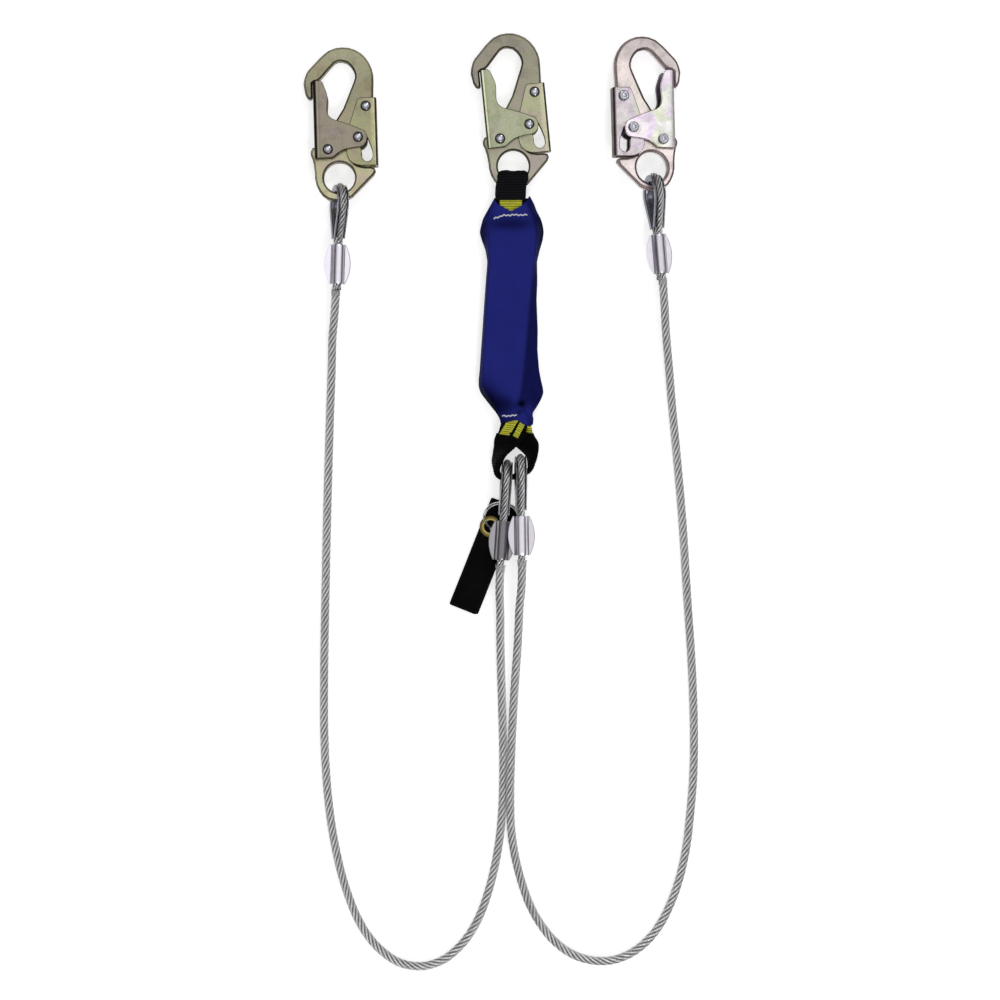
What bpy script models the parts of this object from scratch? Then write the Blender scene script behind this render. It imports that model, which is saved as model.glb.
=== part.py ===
"""Twin steel cable lanyard, lying flat: a shock-absorber pack with its own snap hook and two coated
cable legs, each with a snap hook. Hand sizes are in millimetres and become metres in add_mesh.

Hook frame: the eye centre at zero, +Y to the bow, -X to the nose and gate, +Z off the plate.
Eye frame: the ferrule's top end at zero, +Y to the crown, the loop lies in the YZ plane.
"""

import math

import bpy
from mathutils import Matrix, Vector
from mathutils.geometry import tessellate_polygon

MM = 0.001
GAP = 0.3  # clearance between two pieces that touch in the real one

# Where the box centre of the object, cables left out, lies in the hand-measured frame.
DATUM = Vector((0.4251, 1.3505, 0.1))

# Hook plate and its two folded sheets, stacked outwards from the plate.
PLATE_HALF = 3.5
SHEET = 2.0
LEVER_IN = PLATE_HALF + GAP
LEVER_OUT = LEVER_IN + SHEET
GATE_IN = LEVER_OUT + GAP
GATE_OUT = GATE_IN + SHEET
PIN_R = 2.5
PIN_HOLE_R = PIN_R + 0.35
HEAD_R = 4.5
HEAD_TALL = 2.4
EYE_R = 13.8
GATE_AXIS = (-9.2, 24.3)
LEVER_AXIS = (24.8, 62.3)
LATCH_PIN = (17.4, 34.5)
GATE_FRONT = -21.0
LEVER_BACK = 34.2
BEND_R = 2.6
GATE_WIRE_R = 0.3
GATE_SPRING_TURNS = 1.2
LEVER_WIRE_R = 0.4
LEVER_SPRING_R = 2.3
LEVER_SPRING_TURNS = 3.5

# Cable and its ends.
ROPE_R = 3.175
COAT = 0.625
CABLE_R = ROPE_R + COAT
LANE = ROPE_R + 0.155
THIMBLE_WALL = 1.1
CROWN_IN_R = 11.7
CROWN_ROPE_R = CROWN_IN_R + THIMBLE_WALL + GAP + ROPE_R
CROWN_U = 34.8
THROAT_U = 5.5
THROAT_V = 5.0
THIMBLE_HALF_WIDE = 4.7
FERRULE_LONG = 34.0
FERRULE_HALF_WIDE = 6.0
FERRULE_HALF_TALL = 8.4
WING_HALF_WIDE = 11.7
WING_THICK = 1.4
COAT_FROM = FERRULE_LONG + 6.0
STUB_END = FERRULE_LONG + 5.0

# Webbing and sleeves.
WEB_THICK = 2.0
SLEEVE_WALL = 0.7
SLEEVE_THICK = WEB_THICK + 2.0 * (SLEEVE_WALL + GAP)
SLEEVE_SIDE = 1.2
COVER_WALL = 1.0
LOOP_IN = 4.7
TEAR_LAYERS = 4
TEAR_PITCH = WEB_THICK + 0.5
PACK_Z = GATE_OUT + GAP + HEAD_TALL + 0.1
TAIL = TEAR_PITCH * (TEAR_LAYERS - 1) / 2 + WEB_THICK + GAP

# Tag, eyelet and split ring.
TAG_WIDE = 27.0
TAG_LONG = 101.0
TAG_THICK = 1.2
EYELET_TO_SIDE = 18.3
EYELET_TO_TOP = 24.4
EYELET_IN = 5.3
EYELET_BARREL = 5.9
EYELET_OUT = 9.5
RING_R = 15.0
RING_WIDE = 2.2
RING_THICK = 0.7
RING_PITCH = 1.0


def clear_scene():
    for obj in list(bpy.data.objects):
        bpy.data.objects.remove(obj, do_unlink=True)


def material(name, colour, metallic, roughness):
    made = bpy.data.materials.new(name)
    made.use_nodes = True
    shader = made.node_tree.nodes["Principled BSDF"]
    shader.inputs["Base Color"].default_value = (*colour, 1.0)
    shader.inputs["Metallic"].default_value = metallic
    shader.inputs["Roughness"].default_value = roughness
    return made


def show(name, mesh, look, matrix, parent, smooth=True):
    """Put a mesh in the scene as one named piece, moved by a matrix whose offsets are millimetres."""
    obj = bpy.data.objects.new(name, mesh)
    bpy.context.scene.collection.objects.link(obj)
    if not mesh.materials:
        mesh.materials.append(look)
    if smooth:
        for face in mesh.polygons:
            face.use_smooth = True
        mesh.set_sharp_from_angle(angle=math.radians(35.0))
    placed = matrix.copy()
    placed.translation = matrix.translation * MM
    if parent is not None:
        obj.parent = parent
        obj.matrix_parent_inverse = parent.matrix_basis.inverted()
    obj.matrix_basis = placed
    return obj


def axis_empty(name, matrix):
    """The parent of a moving group: an empty whose origin is on the group's joint axis."""
    obj = bpy.data.objects.new(name, None)
    bpy.context.scene.collection.objects.link(obj)
    placed = matrix.copy()
    placed.translation = matrix.translation * MM
    obj.matrix_basis = placed
    return obj


def face_out(mesh):
    import bmesh

    work = bmesh.new()
    work.from_mesh(mesh)
    bmesh.ops.recalc_face_normals(work, faces=work.faces)
    work.to_mesh(mesh)
    work.free()
    return mesh


def mesh_of(name, points, faces):
    mesh = bpy.data.meshes.new(name)
    mesh.from_pydata([[c * MM for c in p] for p in points], [], faces)
    mesh.update()
    return face_out(mesh)


def loft(name, rings, ends="caps", back=None):
    """Skin a list of equal rings. ends: "caps" closes both ends, "round" joins the last ring to the first.
    back: the ring from which a round skin returns inside itself, where the diagonals turn with it."""
    count = len(rings[0])
    points = [p for ring in rings for p in ring]
    faces = []
    spans = len(rings) if ends == "round" else len(rings) - 1
    for i in range(spans):
        a = i * count
        b = ((i + 1) % len(rings)) * count
        for k in range(count):
            n = (k + 1) % count
            if back is not None and i >= back:
                faces += [(a + k, a + n, b + k), (a + n, b + n, b + k)]
            else:
                faces += [(a + k, a + n, b + n), (a + k, b + n, b + k)]
    if ends == "caps":
        faces.append(tuple(range(count))[::-1])
        faces.append(tuple(range(len(points) - count, len(points))))
    return mesh_of(name, points, faces)


def unit(x, y):
    size = math.hypot(x, y)
    return x / size, y / size


def inset(loop, depth):
    """The loop moved by depth to its left, which is into the material for a rim run
    counter-clockwise or a hole run clockwise."""
    out = []
    for i, (x, y) in enumerate(loop):
        px, py = loop[i - 1]
        nx, ny = loop[(i + 1) % len(loop)]
        ax, ay = unit(x - px, y - py)
        bx, by = unit(nx - x, ny - y)
        sx, sy = -ay - by, ax + bx
        size = math.hypot(sx, sy)
        reach = depth / max(0.55, size / 2.0)
        out.append((x + sx / size * reach, y + sy / size * reach))
    return out


def area(loop):
    return 0.5 * sum(a[0] * b[1] - b[0] * a[1] for a, b in zip(loop, loop[1:] + loop[:1]))


def wound(loop, left):
    return list(loop) if (area(loop) > 0) == left else list(loop)[::-1]


def circle(cx, cy, radius, count, start=0.0):
    return [
        (cx + radius * math.cos(start + 2 * math.pi * k / count),
         cy + radius * math.sin(start + 2 * math.pi * k / count))
        for k in range(count)
    ]


def plate(name, rim, holes, low, high, chamfers):
    """A flat plate with through holes. chamfers gives one depth for the rim and one for each hole."""
    loops = [wound(rim, True)] + [wound(hole, False) for hole in holes]
    points = []
    faces = []
    starts = []
    for loop, depth in zip(loops, chamfers):
        small = inset(loop, depth) if depth else loop
        levels = [(low, small), (low + depth, loop), (high - depth, loop), (high, small)]
        if not depth:
            levels = [(low, loop), (high, loop)]
        base = len(points)
        for z, ring in levels:
            points += [(x, y, z) for x, y in ring]
        count = len(loop)
        for level in range(len(levels) - 1):
            for k in range(count):
                n = (k + 1) % count
                a = base + level * count
                faces.append((a + k, a + n, a + count + n, a + count + k))
        starts.append((base, base + (len(levels) - 1) * count, count))
    for side in (0, 1):
        flat = []
        index = []
        for start in starts:
            base = start[side]
            flat.append([Vector((points[base + k][0], points[base + k][1], 0.0)) for k in range(start[2])])
            index += [base + k for k in range(start[2])]
        for tri in tessellate_polygon(flat):
            faces.append(tuple(index[k] for k in tri))
    return mesh_of(name, points, faces)


def bored(name, outer, inner):
    """A body along Y with a bore of as many points, its flat ends filled between rim and bore."""
    count = len(outer[0])
    points = [p for ring in outer + inner for p in ring]
    faces = []
    for start, rings in ((0, outer), (len(outer), inner)):
        for i in range(len(rings) - 1):
            a = (start + i) * count
            b = a + count
            for k in range(count):
                n = (k + 1) % count
                faces += [(a + k, a + n, b + n), (a + k, b + n, b + k)]
    for rim, bore in ((0, len(outer)), (len(outer) - 1, len(outer) + len(inner) - 1)):
        index = [rim * count + k for k in range(count)]
        hole = [bore * count + k for k in range(count)][::-1]
        flat = [[Vector((points[i][0], points[i][2], 0.0)) for i in loop] for loop in (index, hole)]
        order = index + hole
        faces += [tuple(order[k] for k in tri) for tri in tessellate_polygon(flat)]
    return mesh_of(name, points, faces)


def prism_y(name, section, low, high):
    """A section in XZ drawn out along Y."""
    return loft(name, [[(x, y, z) for x, z in section] for y in (low, high)])


def turned(name, profile, count, closed=False):
    """A profile of (radius, z) turned about Z. closed: the profile is a ring, as on an eyelet."""
    rings = []
    for radius, z in profile:
        rings.append([(x, y, z) for x, y in circle(0.0, 0.0, radius, count)])
    return loft(name, rings, "round" if closed else "caps")


def carve(name, start, steps):
    """Combine meshes with exact booleans and keep the result as one plain mesh."""
    body = bpy.data.objects.new(name + "_work", start)
    bpy.context.scene.collection.objects.link(body)
    helpers = []
    for operation, mesh in steps:
        tool = bpy.data.objects.new(name + "_tool", mesh)
        bpy.context.scene.collection.objects.link(tool)
        helpers.append(tool)
        step = body.modifiers.new("cut", "BOOLEAN")
        step.solver = "EXACT"
        step.operation = operation
        step.object = tool
    bpy.context.view_layer.update()
    graph = bpy.context.evaluated_depsgraph_get()
    made = bpy.data.meshes.new_from_object(body.evaluated_get(graph))
    made.name = name
    for obj in helpers + [body]:
        bpy.data.objects.remove(obj, do_unlink=True)
    return face_out(made)


def arc(cx, cy, radius, first, last, steps):
    """Points on an arc, with the angles in degrees."""
    return [
        (cx + radius * math.cos(math.radians(first + (last - first) * k / steps)),
         cy + radius * math.sin(math.radians(first + (last - first) * k / steps)))
        for k in range(steps + 1)
    ]


def channel(front, back, half, wall, bend, steps=3):
    """The XZ section of a folded sheet: a web at front and two plates that run to back."""
    way = 1.0 if back > front else -1.0
    outer = [(back, half)]
    outer += [(front + way * (bend - bend * math.sin(a)), half - bend + bend * math.cos(a))
              for a in [math.pi / 2 * k / steps for k in range(steps + 1)]]
    inner_bend = bend - wall
    inner = [(back, half - wall)]
    inner += [(front + way * (wall + inner_bend - inner_bend * math.sin(a)),
               half - wall - inner_bend + inner_bend * math.cos(a))
              for a in [math.pi / 2 * k / steps for k in range(steps + 1)]]
    under = [(x, -z) for x, z in outer]
    under_in = [(x, -z) for x, z in inner]
    return outer + under[::-1] + under_in + inner[::-1]


def tube_frames(path):
    """A tangent and two cross directions at each point, carried along without twist."""
    tangents = []
    for i in range(len(path)):
        a = path[max(i - 1, 0)]
        b = path[min(i + 1, len(path) - 1)]
        tangents.append((b - a).normalized())
    side = tangents[0].orthogonal().normalized()
    frames = []
    for tangent in tangents:
        side = (side - tangent * side.dot(tangent)).normalized()
        frames.append((tangent, side, tangent.cross(side)))
    return frames


def tube(name, path, radius, count):
    path = [Vector(p) for p in path]
    rings = []
    for point, (_, side, other) in zip(path, tube_frames(path)):
        rings.append([
            point + side * (radius * math.cos(2 * math.pi * k / count))
            + other * (radius * math.sin(2 * math.pi * k / count))
            for k in range(count)
        ])
    return loft(name, rings)


def print_self_gap(name, path, radius, apart):
    """Print the least gap of a tube to itself, between stretches that are over a set length apart along it."""
    fine = []
    for a, b in zip(path, path[1:]):
        fine += [Vector(a).lerp(Vector(b), k / 6.0) for k in range(6)]
    gone = [0.0]
    for a, b in zip(fine, fine[1:]):
        gone.append(gone[-1] + (b - a).length)
    least = min((fine[i] - fine[j]).length for i in range(len(fine)) for j in range(i)
                if gone[i] - gone[j] > apart)
    print(f"{name}: least gap to itself {least - 2.0 * radius:.2f} mm")


def smooth_path(knots, spacing):
    """Points at an even spacing on a smooth curve through the knots."""
    knots = [Vector(k) for k in knots]
    ends = [knots[0] * 2 - knots[1]] + knots + [knots[-1] * 2 - knots[-2]]
    fine = [knots[0]]
    for i in range(1, len(ends) - 2):
        p0, p1, p2, p3 = ends[i - 1], ends[i], ends[i + 1], ends[i + 2]
        t0 = 0.0
        t1 = t0 + math.sqrt((p1 - p0).length)
        t2 = t1 + math.sqrt((p2 - p1).length)
        t3 = t2 + math.sqrt((p3 - p2).length)
        for k in range(1, 17):
            t = t1 + (t2 - t1) * k / 16.0
            a1 = p0 * ((t1 - t) / (t1 - t0)) + p1 * ((t - t0) / (t1 - t0))
            a2 = p1 * ((t2 - t) / (t2 - t1)) + p2 * ((t - t1) / (t2 - t1))
            a3 = p2 * ((t3 - t) / (t3 - t2)) + p3 * ((t - t2) / (t3 - t2))
            b1 = a1 * ((t2 - t) / (t2 - t0)) + a2 * ((t - t0) / (t2 - t0))
            b2 = a2 * ((t3 - t) / (t3 - t1)) + a3 * ((t - t1) / (t3 - t1))
            fine.append(b1 * ((t2 - t) / (t2 - t1)) + b2 * ((t - t1) / (t2 - t1)))
    length = sum((b - a).length for a, b in zip(fine, fine[1:]))
    count = max(2, round(length / spacing))
    step = length / count
    out = [fine[0]]
    gone = 0.0
    want = step
    for a, b in zip(fine, fine[1:]):
        part = (b - a).length
        while want <= gone + part + 1e-9 and len(out) < count:
            out.append(a.lerp(b, (want - gone) / part))
            want += step
        gone += part
    out.append(fine[-1])
    return out


def cord(name, path, radius, look, parent):
    """A free stretch of cable: a poly curve with a round bevel and filled caps, origin at its parent's."""
    curve = bpy.data.curves.new(name, "CURVE")
    curve.dimensions = "3D"
    curve.bevel_depth = radius * MM
    curve.bevel_resolution = 2
    curve.use_fill_caps = True
    spline = curve.splines.new("POLY")
    spline.points.add(len(path) - 1)
    origin = parent.matrix_basis.translation
    for point, at in zip(spline.points, path):
        point.co = (*(at * MM - origin), 1.0)
    curve.materials.append(look)
    obj = bpy.data.objects.new(name, curve)
    bpy.context.scene.collection.objects.link(obj)
    obj.parent = parent
    obj.matrix_parent_inverse = parent.matrix_basis.inverted()
    obj.matrix_basis = Matrix.Translation(origin)
    return obj


# ---- hook pieces, in the hook frame

BODY_RIM = [
    (-27.7, 75.9), (-28.9, 84.2), (-27.9, 89.0), (-26.3, 93.3), (-24.3, 96.3), (-13.8, 107.1),
    (-9.9, 110.4), (-6.6, 112.9), (-0.4, 115.2), (5.1, 115.7), (11.2, 115.1), (16.8, 112.9),
    (21.2, 110.2), (25.1, 106.3), (28.4, 101.3), (30.7, 95.7), (31.7, 90.8), (31.7, 84.2),
    (31.2, 74.8), (30.8, 66.0), (30.6, 57.8), (28.5, 55.6), (24.6, 54.8), (24.3, 46.6),
    (21.5, 43.6), (15.4, 41.2), (13.2, 38.4), (12.6, 33.0), (12.6, 15.0), (13.6, 11.6),
    (17.0, 9.6), (22.3, 8.4), (27.9, 8.2), (30.7, 7.3), (31.5, 4.8), (30.1, 2.0),
    (10.7, -17.2), (7.3, -18.8), (3.2, -20.1), (-1.0, -20.4), (-5.8, -19.9), (-10.4, -18.6),
    (-14.9, -15.0), (-17.7, -10.8), (-19.9, -5.8), (-21.0, -0.2), (-21.0, 4.8), (-21.7, 12.0),
    (-22.9, 17.6), (-24.2, 21.0), (-24.2, 23.7), (-22.4, 27.0), (-18.4, 27.2), (-16.6, 30.4),
    (-14.0, 32.6), (-10.9, 33.8), (-1.8, 50.1), (0.1, 53.1), (5.1, 60.9), (8.4, 68.7),
    (11.8, 77.0), (15.1, 84.8), (16.2, 88.3), (16.2, 91.4), (15.1, 95.1), (12.9, 98.8),
    (9.6, 102.1), (5.1, 103.5), (1.8, 103.6), (-1.6, 102.1), (-4.9, 98.8), (-13.8, 89.0),
    (-16.8, 86.7), (-19.8, 86.2), (-21.8, 84.6), (-21.8, 72.2), (-22.6, 71.0), (-24.1, 70.6),
    (-26.0, 72.0),
]
GATE_RIM = [
    (-23.0, 16.8), (-6.0, 17.3), (-3.8, 18.4), (-1.0, 20.6), (2.9, 23.1), (6.8, 24.3),
    (12.3, 25.3), (19.0, 25.9), (21.8, 27.0), (24.3, 30.0), (25.1, 33.1), (24.8, 36.4),
    (22.9, 39.8), (19.6, 41.4), (10.1, 45.6), (-2.1, 50.1), (-3.8, 50.6), (-6.6, 52.6),
    (-8.5, 55.3), (-9.2, 58.1), (-9.3, 60.9), (-8.8, 66.4), (-8.5, 70.9), (-9.1, 74.2),
    (-10.4, 78.1), (-12.4, 83.7), (-14.5, 85.4), (-19.0, 85.4), (-22.0, 83.4),
]
LEVER_RIM = [
    (17.3, 67.0), (18.2, 68.8), (20.0, 69.5), (37.0, 69.5), (37.0, 9.7), (20.0, 9.7),
    (16.2, 10.3), (12.3, 12.0), (9.3, 14.8), (7.6, 18.7), (7.1, 23.1), (7.6, 33.0), (10.1, 45.6),
]
LEVER_WINDOW = [
    (14.4, 34.5), (15.0, 32.4), (17.2, 29.0), (19.3, 25.4), (19.8, 22.5), (19.8, 18.0), (20.9, 14.9),
    (23.2, 13.0), (25.6, 12.7), (28.2, 14.0), (29.8, 16.4), (29.9, 19.5), (29.6, 23.1),
    (27.9, 28.7), (25.9, 34.2), (23.6, 37.2), (20.5, 38.3), (17.0, 37.6), (15.1, 36.4),
]


def hook_meshes():
    """The eight meshes of one snap hook, each about its own pivot."""
    gx, gy = GATE_AXIS
    lx, ly = LEVER_AXIS
    px, py = LATCH_PIN
    meshes = {}
    eye = circle(0.0, 0.0, EYE_R, 28)
    lever_hole = circle(lx, ly, PIN_HOLE_R, 12)
    blank = plate("hook_blank", BODY_RIM, [eye, lever_hole], -PLATE_HALF, PLATE_HALF, (1.1, 1.1, 0.0))
    pad = plate("pad", circle(gx, gy, HEAD_R, 16), [], -LEVER_OUT, LEVER_OUT, (0.0,))
    hole = plate("hole", circle(gx, gy, PIN_HOLE_R, 12), [], -9.0, 9.0, (0.0,))
    meshes["hook_body"] = carve("hook_body", blank, [("UNION", pad), ("DIFFERENCE", hole)])

    def about(rim, axis):
        return [(x - axis[0], y - axis[1]) for x, y in rim]

    sheet = prism_y("gate_sheet", channel(GATE_FRONT - gx, 30.0 - gx, GATE_OUT, SHEET, BEND_R),
                    10.0 - gy, 90.0 - gy)
    cut = plate("gate_cut", about(GATE_RIM, GATE_AXIS),
                [circle(0.0, 0.0, PIN_HOLE_R, 12), circle(px - gx, py - gy, PIN_HOLE_R, 12)],
                -12.0, 12.0, (0.0, 0.0, 0.0))
    heel = plate("gate_heel", about([(-24.0, 10.0), (-18.4, 10.0), (-18.4, 28.0), (-24.0, 28.0)], GATE_AXIS),
                 [], -GATE_IN, GATE_IN, (0.0,))
    meshes["gate"] = carve("gate", sheet, [("INTERSECT", cut), ("DIFFERENCE", heel)])

    sheet = prism_y("lever_sheet", channel(LEVER_BACK - lx, 2.0 - lx, LEVER_OUT, SHEET, BEND_R),
                    5.0 - ly, 75.0 - ly)
    cut = plate("lever_cut", about(LEVER_RIM, LEVER_AXIS),
                [about(LEVER_WINDOW, LEVER_AXIS), circle(0.0, 0.0, PIN_HOLE_R, 12)],
                -12.0, 12.0, (0.0, 0.0, 0.0))
    meshes["lock_lever"] = carve("lock_lever", sheet, [("INTERSECT", cut)])

    def pin(name, face):
        head = face + GAP
        top = head + HEAD_TALL
        profile = [(2.0, -top), (HEAD_R, -head - 1.0), (HEAD_R, -head), (PIN_R, -head),
                   (PIN_R, head), (HEAD_R, head), (HEAD_R, head + 1.0), (2.0, top)]
        return turned(name, profile, 12)

    meshes["gate_rivet"] = pin("gate_rivet", GATE_OUT)
    meshes["latch_pin"] = pin("latch_pin", GATE_OUT)
    meshes["lever_rivet"] = pin("lever_rivet", LEVER_OUT)

    wire = GATE_WIRE_R
    coil_r = HEAD_R + GAP + wire
    z0 = PLATE_HALF + GAP + wire
    z1 = GATE_IN - GAP - wire
    path = [(GATE_FRONT + SHEET + GAP + wire - gx, 12.0, z0)]
    turns = GATE_SPRING_TURNS
    steps = 16
    first = 170.0
    for k in range(steps + 1):
        a = math.radians(first + 360.0 * turns * k / steps)
        path.append((coil_r * math.cos(a), coil_r * math.sin(a), z0 + (z1 - z0) * k / steps))
    last = path[-1]
    path.append((last[0] + 5.0, last[1] - 2.7, last[2]))
    meshes["gate_spring"] = tube("gate_spring", path, wire, 5)
    print_self_gap("gate spring", path, wire, 1.5 * coil_r)

    wire = LEVER_WIRE_R
    coil_r = LEVER_SPRING_R
    x0 = 24.6 + GAP + wire
    x1 = LEVER_BACK - SHEET - GAP - wire
    turns = LEVER_SPRING_TURNS
    steps = 26
    path = []
    for k in range(steps + 1):
        a = 2 * math.pi * turns * k / steps
        path.append((x0 + (x1 - x0) * k / steps, coil_r * math.cos(a), coil_r * math.sin(a)))
    meshes["lever_spring"] = tube("lever_spring", path, wire, 5)
    print_self_gap("lever spring", path, wire, 1.5 * coil_r)
    return meshes


# ---- cable ends, in the eye frame

def crown_tangent():
    """The slope of the loop's straight legs and where they meet the crown arc."""
    reach = math.hypot(CROWN_U - THROAT_U, THROAT_V)
    slope = math.asin(CROWN_ROPE_R / reach) - math.atan2(THROAT_V, CROWN_U - THROAT_U)
    return slope


def loop_points():
    """(u, v) of the rope centre line round the thimble, from the upper throat to the lower one."""
    slope = math.degrees(crown_tangent())
    return arc(CROWN_U, 0.0, CROWN_ROPE_R, 90.0 + slope, -90.0 - slope, 15)


def rope_eye_mesh(live):
    """Bare rope: the live part, round the thimble, back to a dead end. live is +1 or -1: its lane in Z."""
    loop = loop_points()
    if live < 0:
        loop = [(u, -v) for u, v in loop]
    flat = [(-COAT_FROM, live * LANE), (-20.0, live * LANE), (-0.5, live * LANE),
            (2.4, live * (LANE + 0.45)), (THROAT_U, live * THROAT_V)]
    flat += loop
    flat += [(THROAT_U, -live * THROAT_V), (2.4, -live * (LANE + 0.45)), (-0.5, -live * LANE),
             (-FERRULE_LONG - 0.6, -live * LANE), (-STUB_END, -live * (LANE + 0.4))]
    return tube("rope_eye", [(0.0, u, v) for u, v in flat], ROPE_R, 8)


def thimble_mesh():
    """A grooved channel swept along the loop; its section is (across, out from the rope centre)."""
    seat = -(ROPE_R + GAP)
    lip = 1.2
    wide = THIMBLE_HALF_WIDE
    inner = wide - THIMBLE_WALL
    section = [
        (-3.2, seat - THIMBLE_WALL), (3.2, seat - THIMBLE_WALL), (wide - 0.3, seat - 0.2), (wide, seat + 1.4),
        (wide, lip), (inner, lip), (inner, seat + 2.2), (2.2, seat), (-2.2, seat), (-inner, seat + 2.2),
        (-inner, lip), (-wide, lip), (-wide, seat + 1.4), (-wide + 0.3, seat - 0.2),
    ]
    slope = crown_tangent()
    loop = [(THROAT_U, THROAT_V)] + loop_points() + [(THROAT_U, -THROAT_V)]
    rings = []
    for i, (u, v) in enumerate(loop):
        if i <= 1:
            out = (-math.sin(slope), math.cos(slope))
        elif i >= len(loop) - 2:
            out = (-math.sin(slope), -math.cos(slope))
        else:
            out = unit(u - CROWN_U, v)
        rings.append([(x, u + out[0] * r, v + out[1] * r) for x, r in section])
    return loft("thimble", rings)


def ferrule_mesh():
    """A pressed sleeve with two thin wings and one long bore for both ropes."""
    t = WING_THICK / 2
    r = (ROPE_R + GAP) / math.cos(math.radians(15.0))
    body = [(FERRULE_HALF_WIDE - 0.2, t + 0.4), (4.9, 5.0), (2.2, FERRULE_HALF_TALL)]
    bore = [(r * math.cos(math.radians(a)), LANE + r * math.sin(math.radians(a))) for a in (30.0, 60.0, 86.0)]

    def ring(y, side, top):
        whole = side + top + [(-x, z) for x, z in top[::-1]]
        whole += [(-x, -z) for x, z in whole]
        return [(x, y, z) for x, z in whole]

    wings = [(0.0, 6.4, 0.94), (-4.0, 8.8, 1.0), (-10.0, 10.9, 1.0), (-17.0, WING_HALF_WIDE, 1.0),
             (-24.0, 10.9, 1.0), (-30.0, 8.8, 1.0), (-FERRULE_LONG, 6.6, 0.94)]
    rings = []
    for y, wing, squeeze in wings:
        rings.append(ring(y, [(wing, -t), (wing, t)], [(x * squeeze, z * squeeze) for x, z in body]))
    holes = [ring(y, [(r, -LANE), (r, LANE)], bore) for y in (0.0, -FERRULE_LONG)]
    return bored("ferrule", rings, holes)


# ---- webbing, sleeves and cover

def strap(name, stations, wide_less, thick, hollow=None, worn=None):
    """A flat strap. Each station is centre, width direction and half width. hollow gives a sleeve's
    inner (thickness, width reduction), and worn the stations that the sleeve covers."""
    points = [Vector(s[0]) for s in stations]
    covered = range(len(stations))[worn] if worn else range(len(stations))

    def rings(thickness, less):
        out = []
        for i in covered:
            across, half = Vector(stations[i][1]), stations[i][2]
            along = (points[min(i + 1, len(points) - 1)] - points[max(i - 1, 0)]).normalized()
            face = along.cross(across).normalized()
            h = half - less
            t = thickness / 2
            shape = [(h, -t * 0.5), (h, t * 0.5), (h - t * 0.6, t), (-h + t * 0.6, t),
                     (-h, t * 0.5), (-h, -t * 0.5), (-h + t * 0.6, -t), (h - t * 0.6, -t)]
            out.append([points[i] + across * a + face * b for a, b in shape])
        return out

    if hollow is None:
        return loft(name, rings(thick, wide_less))
    outer = rings(thick, wide_less)
    return loft(name, outer + rings(*hollow)[::-1], "round", back=len(outer))


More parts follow.
